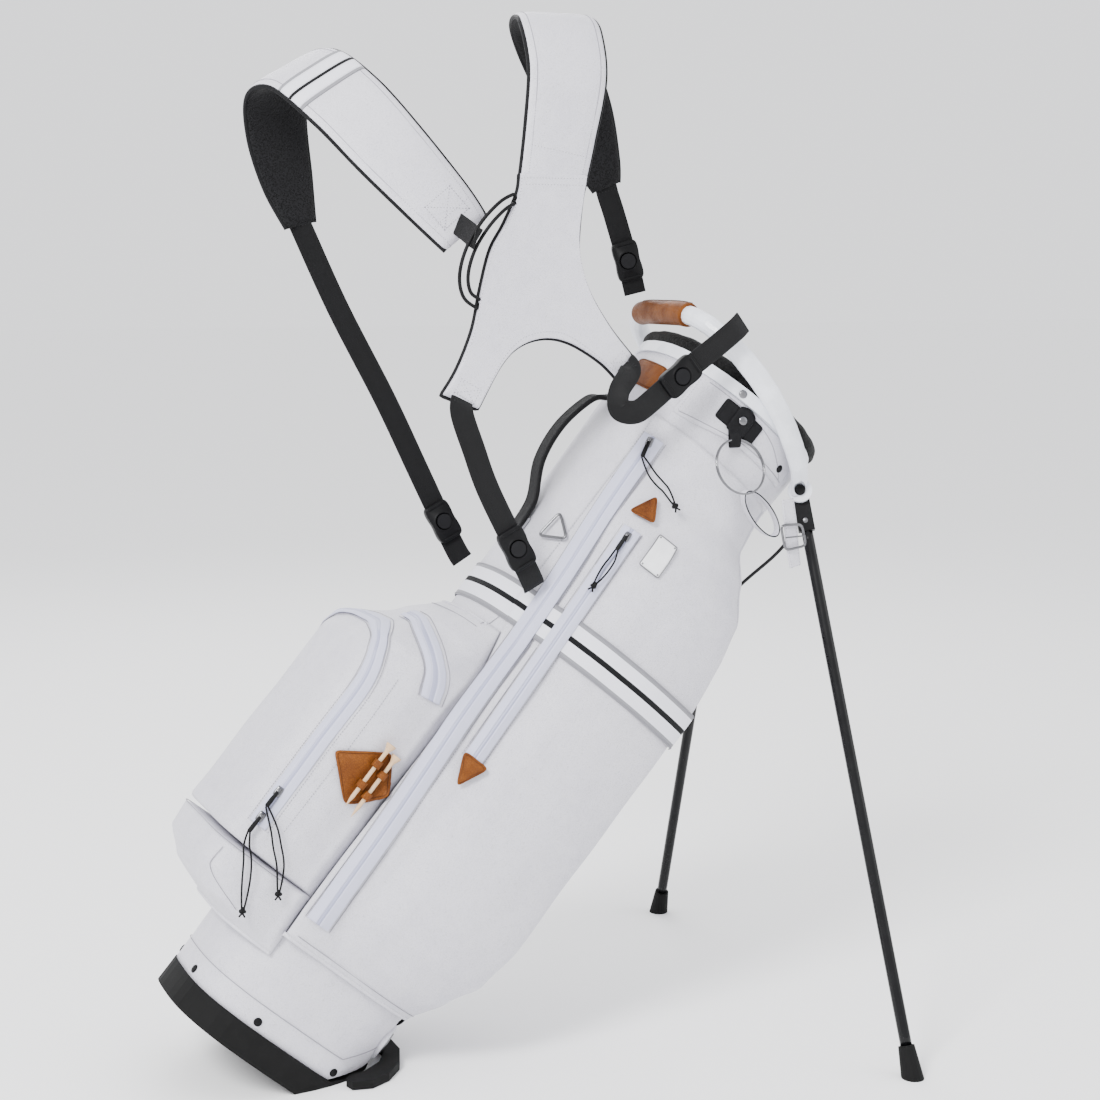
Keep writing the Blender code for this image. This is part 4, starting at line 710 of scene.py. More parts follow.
def moulded(name, colour, roughness, texture=0.15, fine=1400.0, coat=0.0):
    """Moulded plastic, rubber or enamel: fine spark texture, with handling in tone and gloss."""
    lighter = tuple(min(1.0, c * 1.2 + 0.002) for c in colour)
    return hard(name, colour, lighter, roughness, 0.0, coat, 0.13, fine, 3.0, texture, 0.0003)


def dress(node, look):
    """Finish of a CAD node that is shown as it is."""
    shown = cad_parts[node]
    for spot in shown.material_slots:
        spot.material = look


chrome = metal("bright_nickel", (0.19, 0.19, 0.20), 0.18, 0.08)
satin_metal = metal("satin_nickel", (0.22, 0.22, 0.23), 0.34, 0.25)
black_nylon = moulded("black_nylon", (0.004, 0.004, 0.0045), 0.42, 0.25)
rubber = moulded("black_rubber", (0.005, 0.005, 0.005), 0.66, 0.5, 700.0)
dress("base_cup", rubber)
dress("foot_lever", rubber)
rivet = [(0.0046, 0.0), (0.0046, 0.0006), (0.0042, 0.0012), (0.0034, 0.0016), (0.0018, 0.0019),
         (0.0002, 0.0020)]
hem_rivets = np.array([14.0, 63.5, 124.0, 178.0, -128.0, -76.0, -30.0])
low = cup_rim(hem_rivets) + 0.009
studs("hem_rivets", on_skin(hem_rivets, low, -0.0003), skin_out(hem_rivets, low), rivet, black_nylon)
disc = (on_skin(152.0, 0.092, 0.0), skin_out(152.0, 0.092))
studs("medallion_disc", *disc, [(0.021, -0.004), (0.021, 0.0010), (0.0205, 0.0018), (0.0195, 0.0021),
                                (0.0150, 0.0022), (0.0002, 0.0022)], white, sides=64)
ring_steps = [(0.0128, 0.0), (0.0128, 0.0032), (0.0120, 0.0039), (0.0108, 0.0037), (0.0104, 0.0031),
              (0.0090, 0.0031), (0.0086, 0.0036), (0.0062, 0.0040), (0.0058, 0.0034), (0.0040, 0.0034),
              (0.0036, 0.0042), (0.0002, 0.0045)]
studs("medallion", *disc, ring_steps, satin_metal, sides=64)
disc_turn = np.linspace(0, 2 * np.pi, 90)
disc_side = unit(np.cross(disc[1], axis_z))
disc_up = np.cross(disc_side, disc[1])
disc_line = (disc[0] + disc[1] * 0.0021 + 0.0178 * (np.cos(disc_turn)[:, None] * disc_side
                                                      + np.sin(disc_turn)[:, None] * disc_up))
thread("medallion_stitching", [(disc_line, np.broadcast_to(disc[1], disc_line.shape))], dark_grey_thread)

# ---- Moulded collar, handle and padded rim ----
# White satin nylon collar with its handle arch in one moulding, the arch slotted at the near side. The
# grip is wrapped in waxed brown leather closed by a whip stitch, and the mouth has a black fleece roll.
white_nylon = moulded("white_nylon", (0.70, 0.72, 0.77), 0.28, 0.08, coat=0.15)
dress("top_frame", white_nylon)
brown = hide("brown_leather", (0.20, 0.062, 0.010), (0.085, 0.022, 0.005), 0.36, 420.0, 0.55, 0.0, 0.2)
brown_thread = shader("brown_thread", (0.045, 0.015, 0.006), 0.6)[0]
fleece, skin, add = shader("black_fleece", (0.005, 0.005, 0.006), 0.95, sheen=0.08)
spot = add("TexCoord").outputs["Object"]
pile = add("TexNoise", None, Vector=spot, Scale=420.0, Detail=5.0)
tufts = add("TexVoronoi", None, Vector=spot, Scale=500.0)
tone = add("MapRange", i0=pile.outputs["Fac"], i1=0.3, i2=0.75, i3=0.002, i4=0.012)
sum_up = add("Math", {"operation": "ADD"}, i0=pile.outputs["Fac"], i1=tufts.outputs["Distance"])
lifted = add("Bump", None, Strength=0.8, Distance=0.0010, Height=sum_up.outputs[0])
add.link(tone.outputs[0], skin.inputs["Base Color"])
add.link(lifted.outputs[0], skin.inputs["Normal"])
arch_keys = [(0.0885, -0.0900, 0.8440), (0.062, -0.1080, 0.858), (0.020, -0.1185, 0.875),
             (-0.025, -0.1205, 0.890), (-0.070, -0.114, 0.900), (-0.105, -0.100, 0.906),
             (-0.125, -0.076, 0.909), (-0.132, -0.048, 0.910), (-0.133, 0.0, 0.910)]
arch_keys += [(x, -y, z) for x, y, z in arch_keys[-2::-1]]
arch = evenly(smooth(arch_keys, 20), 0.0022)
held = arch[(np.abs(arch[:, 1]) < 0.0605) & (arch[:, 0] < -0.1)]
reach = (0.0605 - np.abs(held[:, 1])) / 0.004
swell = 0.0112 + 0.0022 * np.sqrt(1 - (1 - np.clip(reach, 0.05, 1)) ** 2)
grip_path = place(held)
stand_in(bar("grip_wrap", grip_path, axis_z, swell, swell, brown, sides=40), "handle_grip")
grip_ahead = heading(grip_path)
grip_out = unit(-axis_x * 0.35 + axis_z - grip_ahead * (grip_ahead @ (-axis_x * 0.35 + axis_z))[:, None])
grip_side = np.cross(grip_ahead, grip_out)
runs = []
for k in range(2, len(grip_path) - 3):
    centre = grip_path[k] + grip_out[k] * 0.0133
    for side in (-1, 1):
        tip = centre + side * grip_side[k] * 0.0045 + grip_ahead[k] * 0.0016 - grip_out[k] * 0.0008
        runs.append((np.stack([centre - grip_ahead[k] * 0.0012, tip]), np.stack([grip_out[k]] * 2)))
thread("grip_whip_stitch", runs, brown_thread, pitch=0.0046, size=0.0009, lift=0.0004)
mouth = np.linspace(0, 360, 220, endpoint=False)
rim_path = polar(mouth, rim_z + 0.0085, tube_radius(mouth, 0.87) - 0.004)
lumps = 0.0077 + 0.00025 * np.sin(np.radians(mouth) * 17) + 0.0002 * np.sin(np.radians(mouth) * 29 + 1)
roll = bar("rim_roll", rim_path, axis_z, lumps, lumps, fleece, closed=True, sides=28)
stand_in(roll, "rim_pad")
cuff_seams = (((46.0, 0.8165), (62.0, 0.8225), (84.0, 0.8315), (104.0, 0.8335), (124.0, 0.8335)),
              ((50.0, 0.862), (80.0, 0.8615), (98.0, 0.856), (111.0, 0.845), (121.0, 0.8345)),
              ((45.2, 0.818), (45.2, 0.840), (45.2, 0.862)))
for side, sign in (("near", 1), ("far", -1)):
    angle = np.linspace(43, 126, 60)[None, :] * sign
    low = 0.813 + 0.014 * ease(44, 90, np.abs(angle))
    t = np.linspace(0, 1, 20)[:, None]
    rise = 0.0004 + 0.0018 * np.sqrt(np.clip(np.minimum(t * 14, 1), 0, 1))
    cuff = slab("cuff_" + side, on_skin(angle, low + (shell_top - low) * t, rise),
                on_skin(angle, low + (shell_top - low) * t, 0.0003), white)
    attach(cuff, "bag")
    stand_in(cuff, "cuff_panel_" + side)
    thread("cuff_stitching_" + side, [skin_run(keys, 0.0022, sign) for keys in cuff_seams], dark_grey_thread)
    collar_spot = polar(67.7 * sign, 0.8725, tube_radius(67.7, 0.87) + 0.0073)
    studs("cuff_rivet_" + side, collar_spot, skin_out(67.7 * sign, 0.86), rivet, satin_metal)
    low_spot = (115.9 * sign, 0.8425)
    studs("cuff_lower_rivet_" + side, on_skin(*low_spot, 0.0016), skin_out(*low_spot), rivet, black_nylon)
dress("divider_top", fleece)
dress("divider_panels", cloth("divider_cloth", (0.02, 0.02, 0.022), (0.05, 0.05, 0.055), 300.0, 0.4,
                              source="Object"))
dress("stay_frame", satin_metal)

# ---- Leather patches, name plate and snap tab ----
# Waxed brown patches cover the zip ends and the spine; a white lacquered plate is held by four pins.
# The black snap tab is a stitched strap with a flap over it, whose loop carries the ring.
black_leather = hide("black_leather", (0.005, 0.005, 0.006), (0.010, 0.010, 0.011), 0.45, 700.0, 0.4)


def rounded(outline, soften=5, count=120):
    """Closed outline with evenly spaced points, its corners rounded by averaging neighbours."""
    ring = np.concatenate([outline, outline[:1]]).astype(float)
    ring = evenly(ring, np.linalg.norm(np.diff(ring, axis=0), axis=1).sum() / count)[:-1]
    for _ in range(2):
        ring = np.mean([np.roll(ring, k, 0) for k in range(-soften, soften + 1)], 0)
    return ring


def oblong(half_wide, half_high):
    """Corners of a rectangle about its middle."""
    return [(-half_wide, -half_high), (half_wide, -half_high), (half_wide, half_high),
            (-half_wide, half_high)]


def patch(name, angle, z, outline, lift, thick, look, body="bag", stitch=None, inset=0.0026, soften=4,
          turn=0.0):
    """Flat piece on the skin: rings of its outline (around, along) shrunk to its middle, edge rounded."""
    ring = rounded(np.array(outline), soften)
    swing = np.radians(turn)
    ring = ring @ np.array([[np.cos(swing), np.sin(swing)], [-np.sin(swing), np.cos(swing)]])
    share = np.concatenate([[0.004], np.linspace(0.08, 0.93, 12), [0.965, 0.99, 1.0]])[:, None]
    radius = skin_radius(angle, z)
    a = angle + np.degrees(ring[:, 0] * share / radius)
    h = z + ring[:, 1] * share
    crown = thick * (1 - share ** 26) + 0.00012 * np.cos(share * 9)
    top = on_skin(a, h, lift + crown)
    made = slab(name, top, on_skin(a, h, lift - 0.0003), look, True)
    mesh = made.data
    count = ring.shape[0]
    whole = len(share) * count
    lid = [[mesh.vertices[k].co[:] for k in range(start, start + count)] for start in (0, whole)]
    both = [list(range(count)), list(range(count, 2 * count))[::-1]]
    caps = build(name + "_middle", np.concatenate(lid), both, look)
    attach(caps, body)
    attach(made, body)
    if stitch:
        back = 1 - inset / np.linalg.norm(ring, axis=1, keepdims=True)
        path = np.concatenate([ring * back, (ring * back)[:1]])
        a, h = angle + np.degrees(path[:, 0] / radius), z + path[:, 1]
        thread(name + "_stitching", [(on_skin(a, h, lift + thick), skin_out(a, h))], stitch, body, 0.0030,
               0.0003)
    return made


patch("upper_zip_patch", 64.3, 0.705, [(-0.0155, -0.012), (0.0155, -0.008), (0.0, 0.021)], 0.0064, 0.0012,
      brown,
      stitch=brown_thread, soften=6)
patch("lower_zip_patch", 70.8, 0.374, [(-0.016, 0.012), (0.016, 0.012), (0.0, -0.024)], 0.0062, 0.0012, brown,
      stitch=brown_thread, soften=6)
patch("spine_patch", 12.0, 0.838, oblong(0.031, 0.016), 0.0004, 0.0016,
      brown, stitch=brown_thread, turn=-4)
plate_angle, plate_z = 81.3, 0.673
plate = oblong(0.012, 0.020)
white_plate = moulded("white_lacquer", (0.78, 0.78, 0.80), 0.18, 0.05, coat=0.3)
made = patch("name_plate_face", plate_angle, plate_z, plate, 0.0012, 0.0014, white_plate, soften=1)
stand_in(made, "name_plate")
corner = np.array(oblong(0.0095, 0.0175))
plate_radius = skin_radius(plate_angle, plate_z)
pin_spots = (plate_angle + np.degrees(corner[:, 0] / plate_radius), plate_z + corner[:, 1])
studs("name_plate_pins", on_skin(*pin_spots, 0.0022), skin_out(*pin_spots),
      [(0.0010, 0.0), (0.0010, 0.0006), (0.0006, 0.0009), (0.0001, 0.0010)], satin_metal, sides=16)
plate_ring = rounded(np.array(plate), 1)
plate_edge = (plate_angle + np.degrees(plate_ring[:, 0] / plate_radius), plate_z + plate_ring[:, 1])
bar("name_plate_rim", on_skin(*plate_edge, 0.0020), skin_out(*plate_edge),
    0.0006, 0.0009, satin_metal, closed=True, sides=10)
tab = patch("snap_strap", 76.0, 0.848, oblong(0.026, 0.013), 0.0027, 0.0019,
            black_leather, stitch=black_weave, soften=2)
stand_in(tab, "snap_tab")
patch("snap_flap", 76.6, 0.8475, [(-0.011, -0.015), (0.011, -0.015), (0.011, 0.015), (0.0, 0.019),
                                  (-0.011, 0.015)],
      0.0048, 0.0019, black_leather, stitch=black_weave, soften=3)
studs("snap_button", on_skin(76.4, 0.850, 0.0064), skin_out(76.4, 0.850),
      [(0.0050, 0.0), (0.0050, 0.0012), (0.0044, 0.0020), (0.0030, 0.0025), (0.0001, 0.0027)], chrome)
slope = np.array([0.014, 0.009, 0.005, 0.0, -0.005, -0.008, -0.008, -0.004, 0.004, 0.012])
rise = np.array([0.0062, 0.0070, 0.0092, 0.0100, 0.0090, 0.0068, 0.0042, 0.0034, 0.0036, 0.0040])
loop_spot = (79.0, 0.829)
loop_angle = loop_spot[0] + np.degrees(-np.cos(lean) * slope / skin_radius(*loop_spot))
loop_path = smooth(on_skin(loop_angle, loop_spot[1] + np.sin(lean) * slope, rise), 8)
loop_side = unit(skin_out(*loop_spot) + np.zeros(3))
loop_ahead = heading(loop_path)
wire_way = unit(np.cross(loop_side, unit(loop_path[30] - loop_path[0])))
bar("snap_loop", loop_path, np.cross(wire_way, loop_ahead), 0.0062, 0.0007, black_leather, square=6)
ring_out = skin_out(80.0, 0.80)
ring_down = unit(np.array([0, 0, -1.0]) + ring_out * ring_out[2])
ring_across = np.cross(ring_out, ring_down)
ring_down = unit(ring_down + ring_out * 0.08)
ring_top = on_skin(*loop_spot, 0.0070)
coil_turn = np.linspace(0, 4 * np.pi, 150)[:, None]
coil_path = (ring_top + ring_down * 0.031 + ring_out * 0.0011 * np.cos(coil_turn / 2)
             + 0.0305 * (-ring_down * np.cos(coil_turn) + ring_across * np.sin(coil_turn)))
split = bar("split_ring", coil_path, ring_out, 0.0011, 0.0011, chrome, "key_ring", sides=10)
stand_in(split, "key_ring")

# ---- Tee holder and tees ----
# A stitched leather diamond with four sewn loops holds two turned wooden tees.
tee_spot = (41.3, 0.303)
holder = patch("tee_patch", *tee_spot, [(-0.026, 0.002), (-0.002, -0.0355), (0.026, -0.002), (0.002, 0.0355)],
               0.0034, 0.0016, brown, stitch=brown_thread, soften=2)
stand_in(holder, "tee_holder")
tee_way = {"x": (0.753587, 0.109367, -0.648187), "y": (0.651915, 0.002174, 0.758289),
           "z": (0.084341, -0.993999, -0.069659)}
tee_way = {axis: np.array(value) for axis, value in tee_way.items()}
tee_middle = {"tee_a": np.array((0.030524, -0.111206, 0.336447)),
              "tee_b": np.array((0.036409, -0.109797, 0.323471))}
loop_turn = whole_turn(40)[None, :, None]
for tee, middle in tee_middle.items():
    for number, y in enumerate((-0.013, 0.013)):
        along = tee_way["y"] * np.linspace(-0.0042, 0.0042, 9)[:, None, None]
        walls = [middle + tee_way["y"] * y + along + radius * (tee_way["x"] * np.cos(loop_turn) * 1.08
                                                                 + tee_way["z"] * np.sin(loop_turn))
                 for radius in (0.0046, 0.0033)]
        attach(slab("%s_loop_%d" % (tee, number), *walls, brown, ring=True), "bag")
wood, skin, add = shader("turned_wood", (0.60, 0.40, 0.22), 0.5)
spot = add("TexCoord").outputs["Object"]
turned_way = add("Mapping", None, Vector=spot, Rotation=(0.0, 0.86, 0.0))
drawn_out = add("Mapping", None, Vector=turned_way.outputs[0], Scale=(900.0, 900.0, 60.0))
fibre = add("TexNoise", None, Vector=drawn_out.outputs[0], Scale=1.0, Detail=4.0)
grainy = add("MixRGB", None, Fac=fibre.outputs["Fac"], Color1=(0.46, 0.27, 0.13, 1),
             Color2=(0.74, 0.54, 0.33, 1))
lifted = add("Bump", None, Strength=0.3, Distance=0.0002, Height=fibre.outputs["Fac"])
add.link(grainy.outputs[0], skin.inputs["Base Color"])
add.link(lifted.outputs[0], skin.inputs["Normal"])
turned_tee = [(0.0002, -0.040), (0.0012, -0.034), (0.0022, -0.028), (0.0022, 0.0), (0.0022, 0.026),
              (0.0025, 0.029), (0.0032, 0.031), (0.0045, 0.0335), (0.0056, 0.036), (0.0056, 0.0375),
              (0.0048, 0.0371), (0.0002, 0.0360)]
for body, middle in tee_middle.items():
    made = studs(body + "_turned", middle, tee_way["y"], turned_tee, wood, body, 28)
    stand_in(made, body)

# ---- Zip sliders and cord pulls ----
# Bright die-cast sliders with moulded pulls. A thin black cord is looped through each pull and tied.
cord_look = cloth("cord_braid", (0.004, 0.004, 0.0045), (0.016, 0.016, 0.017), 900.0, 0.6, sheen=0.05)
sliders = (("apparel_pull", "apparel_slider", "apparel_pull_cord", (0.355933, -0.089478, 0.664601),
            (0.481679, 0.138119, 0.865395), (-0.478192, -0.786106, 0.391625),
            ((49.5, 0.7445), (59.3, 0.738), (66.0, 0.735), (73.0, 0.728))),
           ("slim_pull", "slim_slider", "slim_pull_cord", (0.3148, -0.1218, 0.5681),
            (0.630136, 0.073945, 0.772956), (-0.494423, -0.72936, 0.472842),
            ((65.2, 0.644), (65.4, 0.635), (65.6, 0.622), (65.8, 0.606))),
           ("ball_pull_a", "ball_slider_a", "ball_pull_cord_a", (-0.079965, -0.096706, 0.300218),
            (0.652098, 0.0, 0.758134), (-0.328195, -0.901443, 0.282292),
            ((29.0, 0.182), (31.1, 0.172), (33.9, 0.152), (36.3, 0.123))),
           ("ball_pull_b", "ball_slider_b", "ball_pull_cord_b", (-0.060984, -0.096111, 0.324122),
            (0.652098, 0.0, 0.758134), (-0.344909, -0.89052, 0.296668),
            ((31.0, 0.214), (34.0, 0.200), (38.6, 0.180), (41.6, 0.158))))
for body, node, cord_node, middle, up, out, keys in sliders:
    middle, up, out = np.array(middle), unit(np.array(up)), unit(np.array(out))
    step = np.linspace(-1, 1, 22)[:, None]
    at = step[:, 0]
    wide = 0.0040 * np.sqrt(np.clip(1.04 - 0.42 * np.abs(at) ** 3 - 0.1 * (at > 0), 0.05, 1))
    thick = 0.00175 * np.sqrt(np.clip(1.0 - at ** 6, 0.08, 1))
    shell = bar(node + "_body", middle + up * 0.0055 * step, out, wide, thick, chrome, body, square=4,
                sides=28)
    stand_in(shell, node)
    arch_turn = np.linspace(-0.25, np.pi + 0.25, 18)[:, None]
    bar(node + "_bridge",
        middle + up * 0.0038 * np.cos(arch_turn) + out * (0.0014 + 0.0030 * np.sin(arch_turn)),
        np.cross(up, out), 0.0006, 0.0014, chrome, body, square=3, sides=14)
    pull_step = np.linspace(0, 1, 40)
    ribs = 0.0014 + 0.00022 * np.cos(pull_step * 44) * (pull_step > 0.3)
    wide = 0.0018 + 0.0006 * ease(0.15, 0.5, pull_step)
    tip = np.sqrt(np.clip(1 - ((np.abs(pull_step - 0.5) * 2) ** 14), 0.03, 1))
    bar(node + "_pull", middle + out * 0.0045 - up * (0.0195 * pull_step[:, None]), out, wide * tip,
        ribs * tip,
        black_nylon, body, square=3.2, sides=20)
    fall = smooth(keys, 12)
    fall = on_skin(fall[:, 0], fall[:, 1], 0.0105)
    tip_end = middle + out * 0.0045 - up * 0.0185
    line = evenly(smooth(np.stack([tip_end, fall[8], fall[16], fall[24], fall[-1]]), 16), 0.0008)
    rest_on = skin_out(keys[1][0], keys[1][1])
    across = unit(np.cross(heading(line), rest_on))
    bow = (0.0009 + 0.0032 * np.sin(np.pi * np.linspace(0, 1, len(line))) ** 0.8)[:, None]
    legs = [line + across * bow * way for way in (-1, 1)]
    strands = [bar("%s_strand_%s" % (cord_node, letter), leg, rest_on, 0.0010, 0.0010, cord_look, body,
                   sides=12)
               for letter, leg in zip("ab", legs)]
    t = whole_turn(70)[:, None]
    way = unit(line[-1] - line[-4])
    other = unit(np.cross(way, rest_on))
    tied = ((np.sin(t) + 2 * np.sin(2 * t)) * other + (np.cos(t) - 2 * np.cos(2 * t)) * way
            - 1.3 * np.sin(3 * t) * rest_on)
    tied = line[-1] + way * 0.0014 + 0.0010 * tied
    knot = bar(cord_node + "_knot", tied, rest_on, 0.0011, 0.0011, cord_look, body, closed=True, sides=10)
    tails = [bar("%s_tail_%s" % (cord_node, letter), line[-1] + way * 0.004 + np.linspace(0, 1, 8)[:, None]
                 * (way * 0.0045 + other * side * 0.0030), rest_on, 0.0010, 0.0010, cord_look, body, sides=10)
             for letter, side in zip("ab", (-1, 1))]
    strand = stand_in(strands[0], cord_node)
    float(walked(legs[0])[-1])

# ---- Rings, loop and buckled strap at the cuff ----
# A bent steel triangle, a folded white leather loop with painted edges, and a short leather strap
# closed by a nickel frame buckle.
corners = np.array([(0.241789, -0.052652, 0.565245), (0.265793, -0.057002, 0.589839),
                    (0.263491, -0.079608, 0.563693)])
tri = rounded(corners, 4, 90)
flat = np.cross(corners[1] - corners[0], corners[2] - corners[0])
made = bar("triangle_wire", tri, unit(flat), 0.0016, 0.0013, chrome, "triangle_ring", closed=True, sides=14)
stand_in(made, "triangle_ring")
turn = whole_turn(90)[None, :, None]
depth = np.linspace(-0.0055, 0.0055, 7)[:, None, None] * np.array([0, 1.0, 0])
long_way, short_way = unit(np.array([0.036, 0, -0.046])), unit(np.array([0.046, 0, 0.036]))
walls = [np.array([0.4765, -0.1175, 0.585]) + depth + long_way * (0.031 + wall) * np.cos(turn)
         + short_way * (0.0125 + wall) * np.sin(turn) for wall in (0.0008, -0.0008)]
made = slab("leather_loop", *walls, [white, black_leather], ring=True, marks=(0, 0, 1))
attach(made, "bag")
stand_in(made, "cuff_loop")
face = unit(np.array([0.12, -0.98, 0.15]))
strap = smooth([(0.505, -0.1270, 0.600, 0.016), (0.508, -0.1285, 0.575, 0.017),
                (0.511, -0.1285, 0.550, 0.017), (0.516, -0.1270, 0.526, 0.015)], 16)
made = bar("short_strap", strap[:, :3], face, strap[:, 3] / 2, 0.0011, white, square=5, sides=32)
stand_in(made, "buckle_strap")
side = unit(np.cross(np.gradient(strap[:, :3], axis=0), face))
thread("short_strap_stitching", [(strap[:, :3] + side * way * (strap[:, 3:] / 2 - 0.0020) + face * 0.0011,
                                  np.broadcast_to(face, side.shape)) for way in (-1, 1)], dark_grey_thread)
frame_wire = rounded([(0.494, -0.1326, 0.573), (0.520, -0.1326, 0.573), (0.526, -0.1326, 0.549),
                      (0.500, -0.1326, 0.545)], 4, 100)
made = bar("buckle_frame", frame_wire, (0, -1, 0), 0.0014, 0.0013, chrome, closed=True, sides=16)
stand_in(made, "strap_buckle")
made = bar("buckle_pin", smooth([(0.4985, -0.1362, 0.5595), (0.5100, -0.1365, 0.5600),
                                 (0.5225, -0.1362, 0.5605)], 14),
           (0, -1, 0), 0.0009, 0.0009, chrome, "prong", sides=12)
stand_in(made, "buckle_prong")

# ---- Spine handle ----
# Doubled black webbing arched over the spine, stitched down under a grey keeper at its lower end.
webbing_look = cloth("black_webbing", (0.004, 0.004, 0.0045), (0.014, 0.014, 0.015), 420.0, 0.9, 0.7, 0.06)
black_thread = shader("black_thread", (0.03, 0.03, 0.032), 0.7)[0]
route = np.array([(-0.1205, 0.800), (-0.128, 0.792), (-0.1405, 0.779), (-0.149, 0.736), (-0.143, 0.692),
                  (-0.123, 0.656), (-0.1185, 0.635), (-0.1170, 0.612)])
route = evenly(smooth(route, 14), 0.002)
slope = heading(route)
line = place(np.insert(route, 1, 0.0, axis=1))
face = unit(place(np.insert(route + 0.01 * slope[:, ::-1] * [1, -1], 1, 0.0, axis=1)) - line)
made = bar("spine_webbing", line, face, 0.013, 0.00225, webbing_look, square=5, sides=36)
stand_in(made, "spine_handle")
across = np.array([0, 1.0, 0])
edge_runs = [(line + across * way * 0.0105 + face * side * 0.00222, face * side) for way in (-1, 1)
             for side in (-1, 1)]
thread("spine_webbing_stitching", edge_runs, black_thread)
patch("spine_keeper", 0.0, 0.622, oblong(0.0145, 0.012), 0.0006,
      0.0016, grey_weave, stitch=dark_grey_thread, soften=2)

# ---- Shoulder straps and yoke ----
# Foam-filled straps: white leather face, black spacer mesh behind, bound in black piping with a row of
# stitches inside it. The near strap is sewn onto a stiffened yoke whose two arms take the webbing.
spacer, skin, add = shader("spacer_mesh", (0.005, 0.005, 0.006), 0.9, sheen=0.05)
spot = add("TexCoord").outputs["Object"]
cells = add("TexVoronoi", None, Vector=spot, Scale=520.0)
cell_relief_and_shade = add("MapRange", i0=cells.outputs["Distance"], i1=0.15, i2=0.6, i3=0.0, i4=1.0)
# Painted shade: the sunk middles of the open cells are coloured darker than the ridges between them.
tone = add("MixRGB", None, Fac=cell_relief_and_shade.outputs[0], Color1=(0.002, 0.002, 0.002, 1),
           Color2=(0.011, 0.011, 0.012, 1))
lifted = add("Bump", None, Strength=0.9, Distance=0.0006, Height=cell_relief_and_shade.outputs[0])
add.link(tone.outputs[0], skin.inputs["Base Color"])
add.link(lifted.outputs[0], skin.inputs["Normal"])


def box_cross(centre, along, out, length, width):
    """Sewn box with a diagonal cross, as runs of points with their outward direction."""
    along, out = unit(np.array(along, float)), unit(np.array(out, float))
    side = np.cross(along, out)
    c = [np.array(centre) + along * length / 2 * p + side * width / 2 * q
         for p, q in ((-1, -1), (1, -1), (1, 1), (-1, 1))]
    ends = [(c[0], c[1]), (c[1], c[2]), (c[2], c[3]), (c[3], c[0]), (c[0], c[2]), (c[1], c[3])]
    return [(np.linspace(a, b, 12), np.broadcast_to(out, (12, 3))) for a, b in ends]


def crown_share(across):
    """Height of a pad at a share of its half width: (1 - |across|^3)^(1/3)."""
    return (1 - np.abs(across) ** pad_square) ** (1 / pad_square)


pad_square, piping_radius = 3.0, 0.0025
near_route = ((0.2400, -0.090, 0.925, 0, -1, 0, 0.0715), (0.2510, -0.090, 0.985, 0, -1, 0, 0.0785),
              (0.262, -0.084, 1.050, 0, -0.97, 0.2, 0.086), (0.268, -0.050, 1.100, 0, -0.6, 0.8, 0.088),
              (0.282, 0.006, 1.108, 0, 0.3, 0.95, 0.086), (0.312, 0.045, 1.070, 0.05, 0.93, 0.3, 0.078),
              (0.345, 0.064, 1.010, 0.1, 0.99, 0.1, 0.072), (0.367, 0.069, 0.965, 0.1, 0.99, 0.0, 0.050),
              (0.377, 0.070, 0.940, 0.1, 0.99, 0.0, 0.032))
far_route = ((0.158, -0.060, 0.884, -0.15, -0.93, 0.35, 0.060),
             (0.134, -0.052, 0.914, -0.15, -0.93, 0.35, 0.070),
             (0.087, -0.034, 0.969, -0.2, -0.90, 0.4, 0.080),
             (0.047, -0.004, 1.020, -0.3, -0.75, 0.6, 0.085),
             (0.016, 0.042, 1.054, -0.4, -0.35, 0.85, 0.088), (0.000, 0.084, 1.042, -0.5, 0.5, 0.7, 0.084),
             (0.006, 0.108, 0.995, -0.3, 0.93, 0.1, 0.074), (0.018, 0.112, 0.940, -0.2, 0.97, 0.0, 0.058),
             (0.030, 0.107, 0.895, -0.2, 0.97, -0.1, 0.036))
for which, route in (("near", near_route), ("far", far_route)):
    way = smooth(route, 16)
    path, wide = way[:, :3], way[:, 6] / 2
    run = walked(path)
    ends = np.clip(np.minimum(run, run[-1] - run) / 0.010, 0.06, 1)
    uneven = 1 + 0.025 * np.sin(run * 61) + 0.02 * np.sin(run * 143 + 1)
    puff = 0.0068 * np.sqrt(1 - (1 - ends) ** 2) * uneven
    pad = bar("strap_pad_" + which, path, way[:, 3:6], wide, puff, [white, spacer], square=pad_square,
              sides=56,
              marks=lambda around: (np.sin(around + 0.02) < -0.05).astype(int))
    stand_in(pad, "shoulder_strap_" + which)
    ahead = heading(path)
    face = unit(way[:, 3:6] - ahead * (way[:, 3:6] * ahead).sum(1, keepdims=True))
    side = np.cross(ahead, face)
    bound = [path + side * (wide - 0.0003)[:, None], path - side * (wide - 0.0003)[:, None]]
    for letter, rim in zip("ab", bound):
        bar("strap_piping_%s_%s" % (which, letter), rim, face, piping_radius, piping_radius, black_leather,
            sides=14)
    inset = wide - 0.0075
    crown = puff * crown_share(inset / wide)
    runs = [(path + side * way_out * inset[:, None] + face * crown[:, None], face) for way_out in (-1, 1)]
    if which == "far":
        k = 14
        runs += box_cross(path[k] + face[k] * (puff[k] + 0.0001), ahead[k], face[k], 0.030, 0.036)
    rows = np.linspace(-1, 1, 30)[:, None]
    for share in (0.10, 0.90):
        k = int(share * (len(path) - 1))
        level = puff[k] * crown_share(rows * inset[k] / wide[k])
        runs.append((path[k] + side[k] * rows * inset[k] + face[k] * level,
                     np.broadcast_to(face[k], (30, 3))))
    thread("strap_stitching_" + which, runs, dark_grey_thread)
